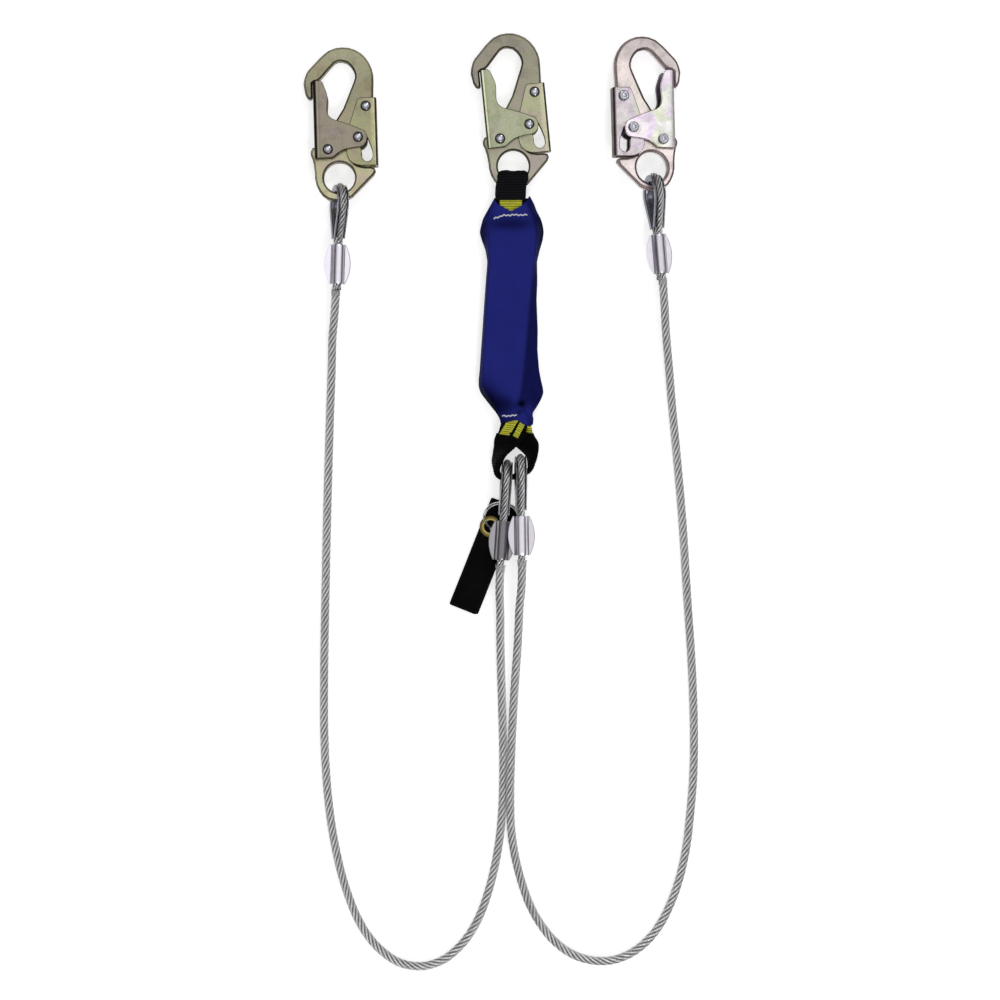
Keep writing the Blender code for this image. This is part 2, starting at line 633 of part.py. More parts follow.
def build():
    clear_scene()
    zinc = material("zinc_steel", (0.55, 0.53, 0.42), 1.0, 0.35)
    rivet_steel = material("rivet_steel", (0.72, 0.72, 0.72), 1.0, 0.25)
    spring_steel = material("spring_steel", (0.45, 0.45, 0.47), 1.0, 0.35)
    coated = material("coated_cable", (0.42, 0.42, 0.42), 0.6, 0.3)
    rope = material("bare_rope", (0.35, 0.35, 0.37), 1.0, 0.4)
    galvanised = material("thimble_steel", (0.25, 0.25, 0.27), 1.0, 0.35)
    alloy = material("ferrule_alloy", (0.78, 0.78, 0.82), 1.0, 0.3)
    cover_cloth = material("cover_cloth", (0.015, 0.012, 0.16), 0.0, 0.9)
    black_web = material("sleeve_webbing", (0.01, 0.01, 0.012), 0.0, 0.9)
    yellow_web = material("yellow_webbing", (0.55, 0.52, 0.05), 0.0, 0.9)
    tag_cloth = material("tag_cloth", (0.01, 0.01, 0.012), 0.0, 0.9)
    brass = material("brass", (0.5, 0.42, 0.18), 1.0, 0.3)
    ring_steel = material("ring_steel", (0.6, 0.6, 0.6), 1.0, 0.25)

    def turn(axis, degrees):
        return Matrix.Rotation(math.radians(degrees), 4, axis)

    def at(x, y, z):
        return Matrix.Translation(Vector((x, y, z)) - DATUM)

    # Frames, in millimetres.
    hooks = {
        "left": at(-132.9, 128.4, 17.8) @ turn("Z", 1.9) @ turn("X", -6.2),
        "pack": at(18.7, 139.6, PACK_Z) @ turn("Z", 5.6),
        "right": at(139.0, 137.3, 18.2) @ turn("Z", 1.5) @ turn("X", -3.3) @ turn("Y", 14.0) @ turn("Y", 180.0),
    }
    from_crown = Matrix.Translation((0.0, -CROWN_U, 0.0))
    tops = {
        "left": at(-133.17, 104.88, 19.8) @ turn("Z", -1.7) @ turn("Y", 16.0) @ from_crown,
        "right": at(141.75, 113.68, 19.8) @ turn("Z", 4.7) @ turn("Y", 16.0) @ from_crown,
    }
    ends = {
        "left": at(12.3, -136.12, 19.4) @ turn("Z", -3.8) @ turn("Y", 2.0) @ from_crown,
        "right": at(25.0, -131.64, 25.0) @ turn("Z", 0.8) @ turn("Y", 3.0) @ from_crown,
    }
    pivots = {
        "left": at(10.8, -130.0, 19.8),
        "right": at(23.0, -126.5, 24.0),
    }
    live_top = {"left": -1, "right": 1}
    live_end = {"left": 1, "right": 1}

    # Hooks.
    shapes = hook_meshes()
    places = {
        "hook_body": (0.0, 0.0),
        "gate": GATE_AXIS,
        "lock_lever": LEVER_AXIS,
        "gate_rivet": GATE_AXIS,
        "lever_rivet": LEVER_AXIS,
        "latch_pin": LATCH_PIN,
        "gate_spring": GATE_AXIS,
        "lever_spring": (0.0, 50.7),
    }
    looks = {
        "hook_body": zinc, "gate": zinc, "lock_lever": zinc, "gate_rivet": rivet_steel,
        "lever_rivet": rivet_steel, "latch_pin": rivet_steel, "gate_spring": spring_steel,
        "lever_spring": spring_steel,
    }
    for side, frame in hooks.items():
        group = axis_empty(f"{side}_hook_axis", frame)
        for part, (x, y) in places.items():
            where = frame @ Matrix.Translation(Vector((x, y, 0.0)))
            show(f"{side}_{part}", shapes[part], looks[part], where, group)

    # Cable legs.
    eyes = {1: rope_eye_mesh(1), -1: rope_eye_mesh(-1)}
    thimble = thimble_mesh()
    ferrule = ferrule_mesh()
    for side in ("left", "right"):
        group = axis_empty(f"{side}_leg_axis", pivots[side])
        for which, frame, live in (("hook", tops[side], live_top[side]), ("pack", ends[side], live_end[side])):
            show(f"{side}_{which}_rope_eye", eyes[live], rope, frame, group)
            show(f"{side}_{which}_thimble", thimble, galvanised, frame, group)
            show(f"{side}_{which}_ferrule", ferrule, alloy, frame, group)
        out = [tops[side] @ Vector((0.0, -COAT_FROM - d, live_top[side] * LANE)) for d in (GAP, 4.0, 14.0)]
        back = [ends[side] @ Vector((0.0, -COAT_FROM - d, live_end[side] * LANE)) for d in (14.0, 4.0, GAP)]
        knots = out[1:] + [Vector(k) - DATUM for k in ROUTES[side]] + back[:2]
        path = out[:1] + smooth_path(knots, 19.0) + back[2:]
        cord(f"{side}_cable", path, CABLE_R, coated, group)

    # Upper webbing and its sleeve, through the pack hook's eye. Both tails lie on the folded tear webbing.
    mid = PACK_Z
    cx, cy = 17.6, 101.3
    turn_y = 26.3
    mean = LOOP_IN + SLEEVE_THICK / 2
    tails = [(-54.0, TAIL, -0.4, 12.6), (-39.0, TAIL, -0.4, 12.6), (-24.0, 3.8, -0.5, 12.7), (-8.0, 2.2, -0.8, 12.8)]
    front = tails + [(8.6, 4.2, -1.1, 13.0), (14.0, 5.9, -1.3, 13.6), (21.0, mean, -0.8, 13.4)]
    bend = arc(turn_y, 0.0, mean, 90.0, -90.0, 8)
    full = [((cx + x, cy + y, mid + z), half) for y, z, x, half in front]
    full += [((cx + 0.9, cy + y, mid + z), 11.0) for y, z in bend]
    full += [((cx + x, cy + y, mid - z), half) for y, z, x, half in front[::-1]]
    stations = [(Vector(p) - DATUM, (1.0, 0.0, 0.0), half) for p, half in full]
    show("upper_webbing", strap("upper_webbing", stations, SLEEVE_SIDE + GAP, WEB_THICK),
         yellow_web, Matrix.Identity(4), None)
    worn = slice(len(tails), len(stations) - len(tails))
    hollow = (WEB_THICK + 2 * GAP, SLEEVE_SIDE)
    show("upper_sleeve", strap("upper_sleeve", stations, 0.0, SLEEVE_THICK, hollow, worn),
         black_web, Matrix.Identity(4), None)

    # Lower webbing and its sleeve, through both thimbles.
    lx, ly = 17.6, -82.4
    low = [(x + lx, y + ly, z) for x, y, z in LOWER_LOOP_POINTS]
    stations = [(Vector(p) - DATUM, w, h) for p, (w, h) in zip(low, LOWER_LOOP_TURNS)]
    show("lower_webbing", strap("lower_webbing", stations, SLEEVE_SIDE + GAP, WEB_THICK),
         yellow_web, Matrix.Identity(4), None)
    worn = slice(4, len(stations) - 4)
    hollow = (WEB_THICK + 3 * GAP, SLEEVE_SIDE)
    show("lower_sleeve", strap("lower_sleeve", stations, 0.0, SLEEVE_THICK + GAP, hollow, worn),
         black_web, Matrix.Identity(4), None)

    # Tear webbing folded inside the cover.
    fold = []
    for k in range(TEAR_LAYERS):
        z = PACK_Z + TEAR_PITCH * (k - (TEAR_LAYERS - 1) / 2)
        run = (-42.0, -138.0) if k % 2 == 0 else (-138.0, -42.0)
        fold.append((run[0], z))
        fold.append((run[1], z))
        if k < TEAR_LAYERS - 1:
            way = -1.0 if k % 2 == 0 else 1.0
            r = TEAR_PITCH / 2
            for a in (45.0, 90.0, 135.0):
                s = math.radians(a)
                fold.append((run[1] + way * r * math.sin(s) * 1.6, z + r - r * math.cos(s)))
    stations = [(Vector((cx - 0.8, cy + y, z)) - DATUM, (1.0, 0.0, 0.0), 17.6) for y, z in fold]
    show("tear_webbing", strap("tear_webbing", stations, 0.0, WEB_THICK), yellow_web, Matrix.Identity(4), None)

    # Cover.
    show("pack_cover", cover_mesh(cx, cy), cover_cloth, Matrix.Identity(4), None)

    # Tag, eyelet and split ring, which hang in the left leg's lower eye just over its ferrule.
    def beside(x, y, z):
        return Matrix.Translation(ends["left"].translation + Vector((x, y, z)))

    ring_frame = beside(-1.9, 3.5, -9.5) @ turn("X", 35.0)
    ring_group = axis_empty("split_ring_axis", beside(1.0, 15.1, -0.6))
    show("split_ring", split_ring_mesh(), ring_steel, ring_frame, ring_group)
    tag_frame = beside(-11.3, -4.9, -15.3) @ turn("Z", -21.6) @ turn("X", -0.5) @ turn("Y", -9.0)
    tag_group = axis_empty("tag_axis", beside(-11.2, -4.9, -15.2))
    show("tag", tag_mesh(), tag_cloth, tag_frame, tag_group)
    show("tag_eyelet", eyelet_mesh(), brass, tag_frame, tag_group)


def split_ring_mesh():
    """Two turns of flat wire, with the start and the end on the same side."""
    steps = 56
    rings = []
    for k in range(steps + 1):
        a = 2 * math.pi * 2.0 * k / steps - 0.35
        z = RING_PITCH * (2.0 * k / steps - 1.0)
        c, s = math.cos(a), math.sin(a)
        ring = []
        for r, h in ((-1, -1), (1, -1), (1, 1), (-1, 1)):
            radius = RING_R + r * RING_WIDE / 2
            ring.append((radius * c, radius * s, z + h * RING_THICK / 2))
        rings.append(ring)
    return loft("split_ring", rings)


def tag_mesh():
    right = EYELET_TO_SIDE
    left = right - TAG_WIDE
    top = EYELET_TO_TOP
    bottom = top - TAG_LONG
    rim = [(left, bottom + 1.0), (left + 1.0, bottom), (right - 3.0, bottom), (right, bottom + 1.5),
           (right, top - 1.0), (right - 1.0, top), (left + 1.5, top), (left, top - 1.0)]
    hole = circle(0.0, 0.0, EYELET_BARREL + GAP, 20)
    return plate("tag", rim, [hole], -TAG_THICK / 2, TAG_THICK / 2, (0.0, 0.0))


def eyelet_mesh():
    under = TAG_THICK / 2 + GAP
    flange = 0.45
    return turned("tag_eyelet", [
        (EYELET_IN, -under - flange * 0.5), (EYELET_IN + 1.2, -under - flange), (EYELET_OUT, -under - 0.15),
        (EYELET_OUT, -under), (EYELET_BARREL, -under), (EYELET_BARREL, under), (EYELET_OUT, under),
        (EYELET_OUT, under + 0.15), (EYELET_IN + 1.2, under + flange), (EYELET_IN, under + flange * 0.5),
    ], 20, closed=True)


def cover_mesh(cx, cy):
    """A flattened fabric tube, open at both ends, with its front rims cut to a V."""
    stations = [
        (9.5, -0.3, 16.4, 10.3, 10.8), (4.5, -0.3, 19.0, 9.6, 10.8), (-1.0, -0.4, 22.0, 9.2, 10.9),
        (-8.0, 0.0, 25.4, 9.6, 11.0), (-20.0, -0.1, 28.4, 10.3, 11.0), (-32.0, 0.4, 25.2, 10.7, 11.0),
        (-44.0, 0.2, 22.3, 10.7, 11.0), (-100.0, -1.6, 23.1, 10.7, 11.0), (-150.0, -2.2, 25.8, 10.7, 11.0),
        (-155.0, -1.9, 27.9, 10.4, 11.0), (-162.5, 0.6, 27.2, 9.7, 11.0), (-173.0, 1.4, 19.6, 8.8, 11.2),
        (-179.0, 2.1, 16.4, 8.2, 11.6), (-184.0, 3.6, 15.8, 7.6, 11.8), (-189.0, 3.6, 15.6, 7.4, 11.8),
    ]
    count = 16

    def ring(row, less, end):
        y, x0, hx, hz, z0 = row
        out = []
        for k in range(count):
            a = 2 * math.pi * k / count
            c, s = math.cos(a), math.sin(a)
            x = (hx - less) * math.copysign(abs(c) ** 0.6, c)
            z = (hz - less) * math.copysign(abs(s) ** 0.65, s)
            dip = 0.0
            if end == "top" and s > 0:
                dip = -9.5 * s ** 1.5
            if end == "top2" and s > 0:
                dip = -7.2 * s ** 1.5
            if end == "top3" and s > 0:
                dip = -4.0 * s ** 1.5
            if end == "bottom" and s > 0:
                dip = 4.0 * s - 1.0 * c
            out.append((cx + x0 + x - DATUM.x, cy + y + dip - DATUM.y, z0 + z - DATUM.z))
        return out

    marks = ["top", "top2", "top3"] + [""] * (len(stations) - 4) + ["bottom"]
    outer = [ring(row, 0.0, mark) for row, mark in zip(stations, marks)]
    inner = [ring(row, COVER_WALL, mark) for row, mark in zip(stations, marks)]
    return loft("pack_cover", outer + inner[::-1], "round", back=len(outer))


def loop_row(x, y, z, lean, half):
    """One station of the lower loop: lean 0 is a strap flat on the ground, 90 one standing on edge."""
    s = math.radians(lean)
    return (x, y, z), ((math.cos(s), 0.0, math.sin(s)), half)


LOWER_ROWS = [
    loop_row(-1.4, 56.0, PACK_Z + TAIL, 0, 12.0), loop_row(-1.0, 40.0, PACK_Z + TAIL, 0, 12.0),
    loop_row(0.6, 24.0, 14.4, 0, 12.3), loop_row(2.5, 4.0, 13.3, 0, 12.5),
    loop_row(0.0, -11.5, 14.8, 8, 13.8), loop_row(-2.5, -17.0, 15.8, 24, 13.8), loop_row(-6.3, -23.5, 17.2, 48, 13.6),
    loop_row(-10.6, -30.0, 18.6, 64, 12.8), loop_row(-13.7, -36.4, 19.5, 76, 11.4),
    loop_row(-14.3, -43.0, 19.8, 88, 9.4), loop_row(-13.6, -47.0, 20.0, 90, 8.4), loop_row(-11.5, -49.6, 20.0, 90, 8.0),
    loop_row(-7.9, -51.0, 20.0, 90, 8.0), loop_row(-3.9, -51.0, 20.3, 94, 8.0),
    loop_row(0.7, -50.0, 21.8, 104, 8.0), loop_row(4.9, -48.6, 23.4, 104, 8.0), loop_row(9.2, -47.4, 24.4, 94, 8.0),
    loop_row(12.9, -46.0, 24.4, 88, 8.6), loop_row(15.6, -43.0, 23.8, 86, 9.8), loop_row(16.8, -37.8, 22.4, 80, 11.0),
    loop_row(17.0, -31.0, 19.6, 70, 12.4), loop_row(13.8, -24.0, 15.4, 48, 13.4), loop_row(9.0, -17.5, 11.4, 22, 13.8),
    loop_row(5.2, -11.5, 9.0, 6, 13.8), loop_row(3.8, 2.0, 9.6, 1, 13.0),
    loop_row(2.0, 24.0, 7.6, 0, 12.3), loop_row(-0.6, 40.0, PACK_Z - TAIL, 0, 12.0),
    loop_row(-1.0, 56.0, PACK_Z - TAIL, 0, 12.0),
]
LOWER_LOOP_POINTS = [row[0] for row in LOWER_ROWS]
LOWER_LOOP_TURNS = [row[1] for row in LOWER_ROWS]

# Where each cable's centre line runs; the heights are of that line above the ground.
ROUTES = {
    "left": [
        (-139.3, -5.4, 11.5), (-140.4, -36.9, 6.6), (-141.7, -68.4, 4.2), (-143.0, -110.0, 4.15),
        (-144.6, -170.0, 4.15), (-146.0, -236.4, 4.15), (-147.1, -300.0, 4.15), (-147.0, -357.2, 4.15),
        (-145.3, -393.9, 4.15), (-142.3, -425.4, 4.15), (-137.3, -456.9, 4.15), (-129.6, -488.4, 4.15),
        (-117.5, -519.9, 4.15), (-103.7, -540.9, 4.15), (-83.9, -556.9, 4.15), (-62.9, -561.4, 4.15),
        (-41.9, -555.3, 4.15), (-27.9, -543.6, 4.15), (-13.9, -523.7, 4.15), (-3.4, -496.7, 4.15),
        (3.8, -467.4, 4.15), (8.2, -435.9, 4.15), (9.8, -404.4, 4.15), (9.9, -372.9, 4.15),
        (9.2, -341.4, 4.2), (8.2, -309.9, 5.4), (7.4, -278.4, 8.2), (7.2, -246.9, 13.4),
    ],
    "right": [
        (151.9, -5.4, 17.0), (155.0, -36.9, 9.6), (157.8, -68.4, 5.2), (161.8, -110.0, 4.15),
        (167.0, -170.0, 4.15), (171.2, -236.4, 4.15), (175.4, -300.0, 4.15), (177.2, -357.2, 4.15),
        (176.6, -393.9, 4.15), (174.1, -425.4, 4.15), (170.4, -456.9, 4.15), (163.2, -488.4, 4.15),
        (150.2, -519.9, 4.15), (136.8, -538.3, 4.15), (117.3, -552.3, 4.15), (96.3, -557.0, 4.15),
        (75.3, -552.8, 4.15), (61.3, -544.9, 4.15), (47.3, -530.9, 4.2), (34.2, -509.4, 5.2),
        (23.4, -477.9, 7.0), (17.5, -446.4, 8.6), (16.0, -414.9, 9.4), (16.6, -383.4, 9.6),
        (18.4, -341.4, 10.2), (20.6, -306.4, 11.6), (22.8, -274.9, 15.4), (24.0, -246.9, 21.0),
    ],
}

build()
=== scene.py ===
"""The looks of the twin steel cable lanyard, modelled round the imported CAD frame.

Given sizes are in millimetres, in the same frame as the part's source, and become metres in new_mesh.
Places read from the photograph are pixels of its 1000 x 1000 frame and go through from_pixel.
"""

import math

import bmesh
import bpy
import numpy as np
from mathutils import Matrix, Vector, noise


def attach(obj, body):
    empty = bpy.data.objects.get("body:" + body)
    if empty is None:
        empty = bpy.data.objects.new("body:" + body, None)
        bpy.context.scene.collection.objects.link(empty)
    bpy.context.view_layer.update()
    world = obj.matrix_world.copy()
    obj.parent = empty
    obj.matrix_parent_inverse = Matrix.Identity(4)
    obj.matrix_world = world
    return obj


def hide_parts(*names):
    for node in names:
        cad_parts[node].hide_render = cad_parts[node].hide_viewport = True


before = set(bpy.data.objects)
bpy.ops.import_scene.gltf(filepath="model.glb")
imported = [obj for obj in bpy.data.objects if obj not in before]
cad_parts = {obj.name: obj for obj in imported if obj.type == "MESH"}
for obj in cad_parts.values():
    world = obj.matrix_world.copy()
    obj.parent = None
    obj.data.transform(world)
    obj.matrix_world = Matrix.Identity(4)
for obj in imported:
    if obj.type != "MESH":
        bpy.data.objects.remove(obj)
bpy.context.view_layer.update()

MM = 0.001
DATUM = Vector((0.4251, 1.3505, 0.1))

# Sizes repeated from the part's source.
PLATE_HALF = 3.5
GAP = 0.3
SHEET = 2.0
LEVER_OUT = PLATE_HALF + GAP + SHEET
GATE_OUT = LEVER_OUT + GAP + SHEET
HEAD_R = 4.5
HEAD_TALL = 2.4
PIN_R = 2.5
GATE_AXIS = (-9.2, 24.3)
LEVER_AXIS = (24.8, 62.3)
LATCH_PIN = (17.4, 34.5)
ROPE_R = 3.175
CABLE_R = ROPE_R + 0.625
LANE = ROPE_R + 0.155
THIMBLE_WALL = 1.1
CROWN_U = 34.8
CROWN_ROPE_R = 11.7 + THIMBLE_WALL + GAP + ROPE_R
THROAT_U = 5.5
THROAT_V = 5.0
FERRULE_LONG = 34.0
FERRULE_HALF = 12.0
COAT_FROM = FERRULE_LONG + 6.0
STUB_END = FERRULE_LONG + 5.0
WEB_THICK = 2.0
SLEEVE_THICK = WEB_THICK + 2.0
SLEEVE_SIDE = 1.2
LOOP_IN = 4.7
TEAR_LAYERS = 4
TEAR_PITCH = 2.5
PACK_Z = GATE_OUT + GAP + HEAD_TALL + 0.1
TAIL = TEAR_PITCH * (TEAR_LAYERS - 1) / 2 + WEB_THICK + GAP
RING_R = 15.0

# How the photograph was taken: straight down from PHOTO_HIGH, with PHOTO_AXIS at the frame's centre.
PHOTO_AXIS = (6.66, -153.77)
PHOTO_HIGH = 2750.0
PHOTO_SCALE = 0.875
PHOTO_ZERO = (491.9, 325.8)


def from_pixel(px, py):
    """The (x, y) of a photograph pixel at the object's middle height, before DATUM."""
    return (px - PHOTO_ZERO[0]) * PHOTO_SCALE, (PHOTO_ZERO[1] - py) * PHOTO_SCALE


def to_pixel(x, y):
    return x / PHOTO_SCALE + PHOTO_ZERO[0], PHOTO_ZERO[1] - y / PHOTO_SCALE


def turn(axis, degrees):
    return Matrix.Rotation(math.radians(degrees), 4, axis)


def at(x, y, z):
    return Matrix.Translation(Vector((x, y, z)) - DATUM)


HOOKS = {
    "left": at(-132.9, 128.4, 17.8) @ turn("Z", 1.9) @ turn("X", -6.2),
    "pack": at(18.7, 139.6, PACK_Z) @ turn("Z", 5.6),
    "right": at(139.0, 137.3, 18.2) @ turn("Z", 1.5) @ turn("X", -3.3) @ turn("Y", 14.0) @ turn("Y", 180.0),
}
FROM_CROWN = Matrix.Translation((0.0, -CROWN_U, 0.0))
EYES = {
    ("left", "hook"): at(-133.17, 104.88, 19.8) @ turn("Z", -1.7) @ turn("Y", 16.0) @ FROM_CROWN,
    ("right", "hook"): at(141.75, 113.68, 19.8) @ turn("Z", 4.7) @ turn("Y", 16.0) @ FROM_CROWN,
    ("left", "pack"): at(12.3, -136.12, 19.4) @ turn("Z", -3.8) @ turn("Y", 2.0) @ FROM_CROWN,
    ("right", "pack"): at(25.0, -131.64, 25.0) @ turn("Z", 0.8) @ turn("Y", 3.0) @ FROM_CROWN,
}
LIVE = {("left", "hook"): -1, ("right", "hook"): 1, ("left", "pack"): 1, ("right", "pack"): 1}


# ---- meshes

def new_mesh(name, points, faces, look, uv, matrix=None):
    """A piece from points in millimetres. uv gives one (u, v) in metres for each point."""
    points = np.asarray([tuple(p) for p in points], dtype=float)
    if matrix is not None:
        turned = np.array(matrix)
        points = points @ turned[:3, :3].T + turned[:3, 3]
    mesh = bpy.data.meshes.new(name)
    mesh.from_pydata((points * MM).tolist(), [], faces)
    mesh.update()
    corners = np.empty(len(mesh.loops), np.int32)
    mesh.loops.foreach_get("vertex_index", corners)
    mesh.uv_layers.new(name="UVMap").data.foreach_set("uv", np.asarray(uv, dtype=np.float32)[corners].ravel())
    mesh.polygons.foreach_set("use_smooth", [True] * len(mesh.polygons))
    mesh.set_sharp_from_angle(angle=math.radians(50.0))
    mesh.materials.append(look)
    obj = bpy.data.objects.new(name, mesh)
    bpy.context.scene.collection.objects.link(obj)
    return obj


def belongs(piece, body, slot, *solids):
    """The body a piece rides and the CAD solids it stands for, which are hidden. Its slot is not used."""
    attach(piece, body)
    if solids:
        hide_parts(*solids)


def store(piece, name, values):
    """Store one number for each point, which a look reads by its name."""
    layer = piece.data.attributes.new(name, "FLOAT", "POINT")
    layer.data.foreach_set("value", np.asarray(values, dtype=np.float32))


def stamp(piece, matrix, value):
    """Store as "place" the value of each point's position in the frame the piece was made in."""
    back = matrix.inverted()
    store(piece, "place", [value(back @ (v.co / MM)) for v in piece.data.vertices])


def skin(rings, ends="caps"):
    """Points, faces and (around, along) in metres of a skin over equal rings. ends: caps, open or round."""
    count = len(rings[0])
    rings = [[Vector(p) for p in ring] for ring in rings]
    points = [p for ring in rings for p in ring]
    faces = []
    for i in range(len(rings) if ends == "round" else len(rings) - 1):
        a, b = i * count, (i + 1) % len(rings) * count
        faces += [(a + k, a + (k + 1) % count, b + (k + 1) % count, b + k) for k in range(count)]
    if ends == "caps":
        faces += [tuple(range(count))[::-1], tuple(range(len(points) - count, len(points)))]
    uv = []
    for ring, along in zip(rings, lengths_along([sum(ring, Vector()) / count for ring in rings])):
        around = 0.0
        for k in range(count):
            uv.append((around * MM, along * MM))
            around += (ring[(k + 1) % count] - ring[k]).length
    return points, faces, uv


def facing_out(obj):
    work = bmesh.new()
    work.from_mesh(obj.data)
    bmesh.ops.recalc_face_normals(work, faces=work.faces)
    work.to_mesh(obj.data)
    work.free()
    return obj


def joined(name, parts, look, matrix=None):
    """Several (points, faces, uv) skins as one piece."""
    points, faces, uv = [], [], []
    for more, sides, layer in parts:
        base = len(points)
        points += more
        faces += [tuple(base + i for i in face) for face in sides]
        uv += layer
    return facing_out(new_mesh(name, points, faces, look, uv, matrix))


def lofted(name, rings, look, ends="caps", matrix=None):
    return joined(name, [skin(rings, ends)], look, matrix)


def turns(count):
    return [2 * math.pi * k / count for k in range(count)]


def turned(name, profile, look, matrix, count=48, closed=False):
    """A profile of (radius, z) turned about Z."""
    rings = [[(radius * math.cos(a), radius * math.sin(a), z) for a in turns(count)] for radius, z in profile]
    return lofted(name, rings, look, "round" if closed else "caps", matrix)


def arc(cx, cy, radius, first, last, steps):
    return [(cx + radius * math.cos(math.radians(first + (last - first) * k / steps)),
             cy + radius * math.sin(math.radians(first + (last - first) * k / steps)))
            for k in range(steps + 1)]


# ---- curves

def lengths_along(points):
    """How far along a path each of its points lies."""
    return np.concatenate([[0.0], np.cumsum([(b - a).length for a, b in zip(points, points[1:])])])


def between(a, b, ta, tb, t):
    """The place at t on the line that is at a when t is ta and at b when t is tb."""
    return a * ((tb - t) / (tb - ta)) + b * ((t - ta) / (tb - ta))


def smooth_path(knots, spacing):
    """Points at an even spacing on a smooth curve through the knots."""
    steps = 16
    knots = [Vector(k) for k in knots]
    ends = [knots[0] * 2 - knots[1]] + knots + [knots[-1] * 2 - knots[-2]]
    fine = [knots[0]]
    for p0, p1, p2, p3 in zip(ends, ends[1:], ends[2:], ends[3:]):
        t0 = 0.0
        t1 = t0 + math.sqrt((p1 - p0).length)
        t2 = t1 + math.sqrt((p2 - p1).length)
        t3 = t2 + math.sqrt((p3 - p2).length)
        for k in range(1, steps + 1):
            t = t1 + (t2 - t1) * k / steps
            a1, a2, a3 = between(p0, p1, t0, t1, t), between(p1, p2, t1, t2, t), between(p2, p3, t2, t3, t)
            fine.append(between(between(a1, a2, t0, t2, t), between(a2, a3, t1, t3, t), t1, t2, t))
    gone = lengths_along(fine)
    flat = np.array([tuple(p) for p in fine])
    want = np.linspace(0.0, gone[-1], max(2, round(gone[-1] / spacing)) + 1)
    return [Vector(p) for p in np.stack([np.interp(want, gone, flat[:, i]) for i in range(3)], 1)]


def path_frames(path):
    """A tangent and two cross directions at each point, carried along without twist."""
    side = (path[1] - path[0]).orthogonal().normalized()
    frames = []
    for i in range(len(path)):
        tangent = (path[min(i + 1, len(path) - 1)] - path[max(i - 1, 0)]).normalized()
        side = (side - tangent * side.dot(tangent)).normalized()
        frames.append((tangent, side, tangent.cross(side)))
    return frames


def tube_skin(path, radius, count):
    return skin([[point + side * (radius * math.cos(a)) + other * (radius * math.sin(a)) for a in turns(count)]
                 for point, (_, side, other) in zip(path, path_frames(path))])


# The strands under the clear coat are drawn larger, as the coat magnifies them.
COATED_ROPE_R = ROPE_R + 0.55
STRANDS = 6
ROPE_LAY = 35.0
BARE_LAY = 30.0


def stranded(path, radius, sides, lay):
    """The skins of a wire rope's outer strands, laid right-handed round a core along the path, and for each of
    their points its depth: its distance from the centre, 1 at the crowns, less a little on a strand's far side."""
    strand_r = radius / 3.0
    lay_r = radius - strand_r
    frames = path_frames(path)
    gone = lengths_along(path)
    skins = [tube_skin(path, lay_r * 0.82, 10)]
    depths = [0.55] * len(skins[0][0])
    for s in range(STRANDS):
        points = []
        for point, (_, side, other), far in zip(path, frames, gone):
            a = 2 * math.pi * (s / STRANDS + far / lay)
            points.append(point + side * (lay_r * math.cos(a)) + other * (lay_r * math.sin(a)))
        skins.append(tube_skin(points, strand_r * 1.03, sides))
        for i, p in enumerate(skins[-1][0]):
            middle, (ahead, _, _) = path[i // sides], frames[i // sides]
            around = ahead.cross(points[i // sides] - middle).normalized()
            depths.append((p - middle).length / radius - 0.05 * (p - points[i // sides]).dot(around) / strand_r)
    return skins, depths


def rope(name, path, radius, look, sides, lay, matrix=None):
    skins, depths = stranded(path, radius, sides, lay)
    piece = joined(name, skins, look, matrix)
    # The depth sets the painted shade in the valleys between strands.
    store(piece, "depth", depths)
    return piece


# ---- materials

class Nodes:
    """A node tree and short calls that add to it. A value is a plain one, or the output that it comes from."""

    def __init__(self, tree):
        self.tree = tree

    def feed(self, socket, value):
        if isinstance(value, bpy.types.NodeSocket):
            self.tree.links.new(value, socket)
        else:
            socket.default_value = (*value, 1.0) if socket.type == "RGBA" else value

    def node(self, kind, *values, **named):
        """The values go to the inputs in their order. A name is a setting of the node, or one of its inputs."""
        made = self.tree.nodes.new(kind)
        for key, value in named.items():
            if hasattr(made, key):
                setattr(made, key, value)
            else:
                self.feed(made.inputs[key.replace("_", " ")], value)
        for socket, value in zip(made.inputs, values):
            self.feed(socket, value)
        return made

    def math(self, operation, *values):
        return self.node("ShaderNodeMath", *values, operation=operation).outputs[0]

    def ramp(self, factor, stops):
        """stops: (place, colour or level)."""
        made = self.node("ShaderNodeValToRGB", factor)
        band = made.color_ramp
        while len(band.elements) < len(stops):
            band.elements.new(0.5)
        for element, (place, value) in zip(band.elements, stops):
            element.position = place
            element.color = (*(value if isinstance(value, tuple) else (value,) * 3), 1.0)
        return made.outputs["Color"]

    def mix(self, factor, a, b, blend="MIX"):
        made = self.node("ShaderNodeMix", data_type="RGBA", blend_type=blend)
        for index, value in ((0, factor), (6, a), (7, b)):
            self.feed(made.inputs[index], value)
        return made.outputs[2]

    def times(self, a, b):
        return self.mix(1.0, a, b, "MULTIPLY")

    def split(self, vector):
        return self.node("ShaderNodeSeparateXYZ", vector).outputs


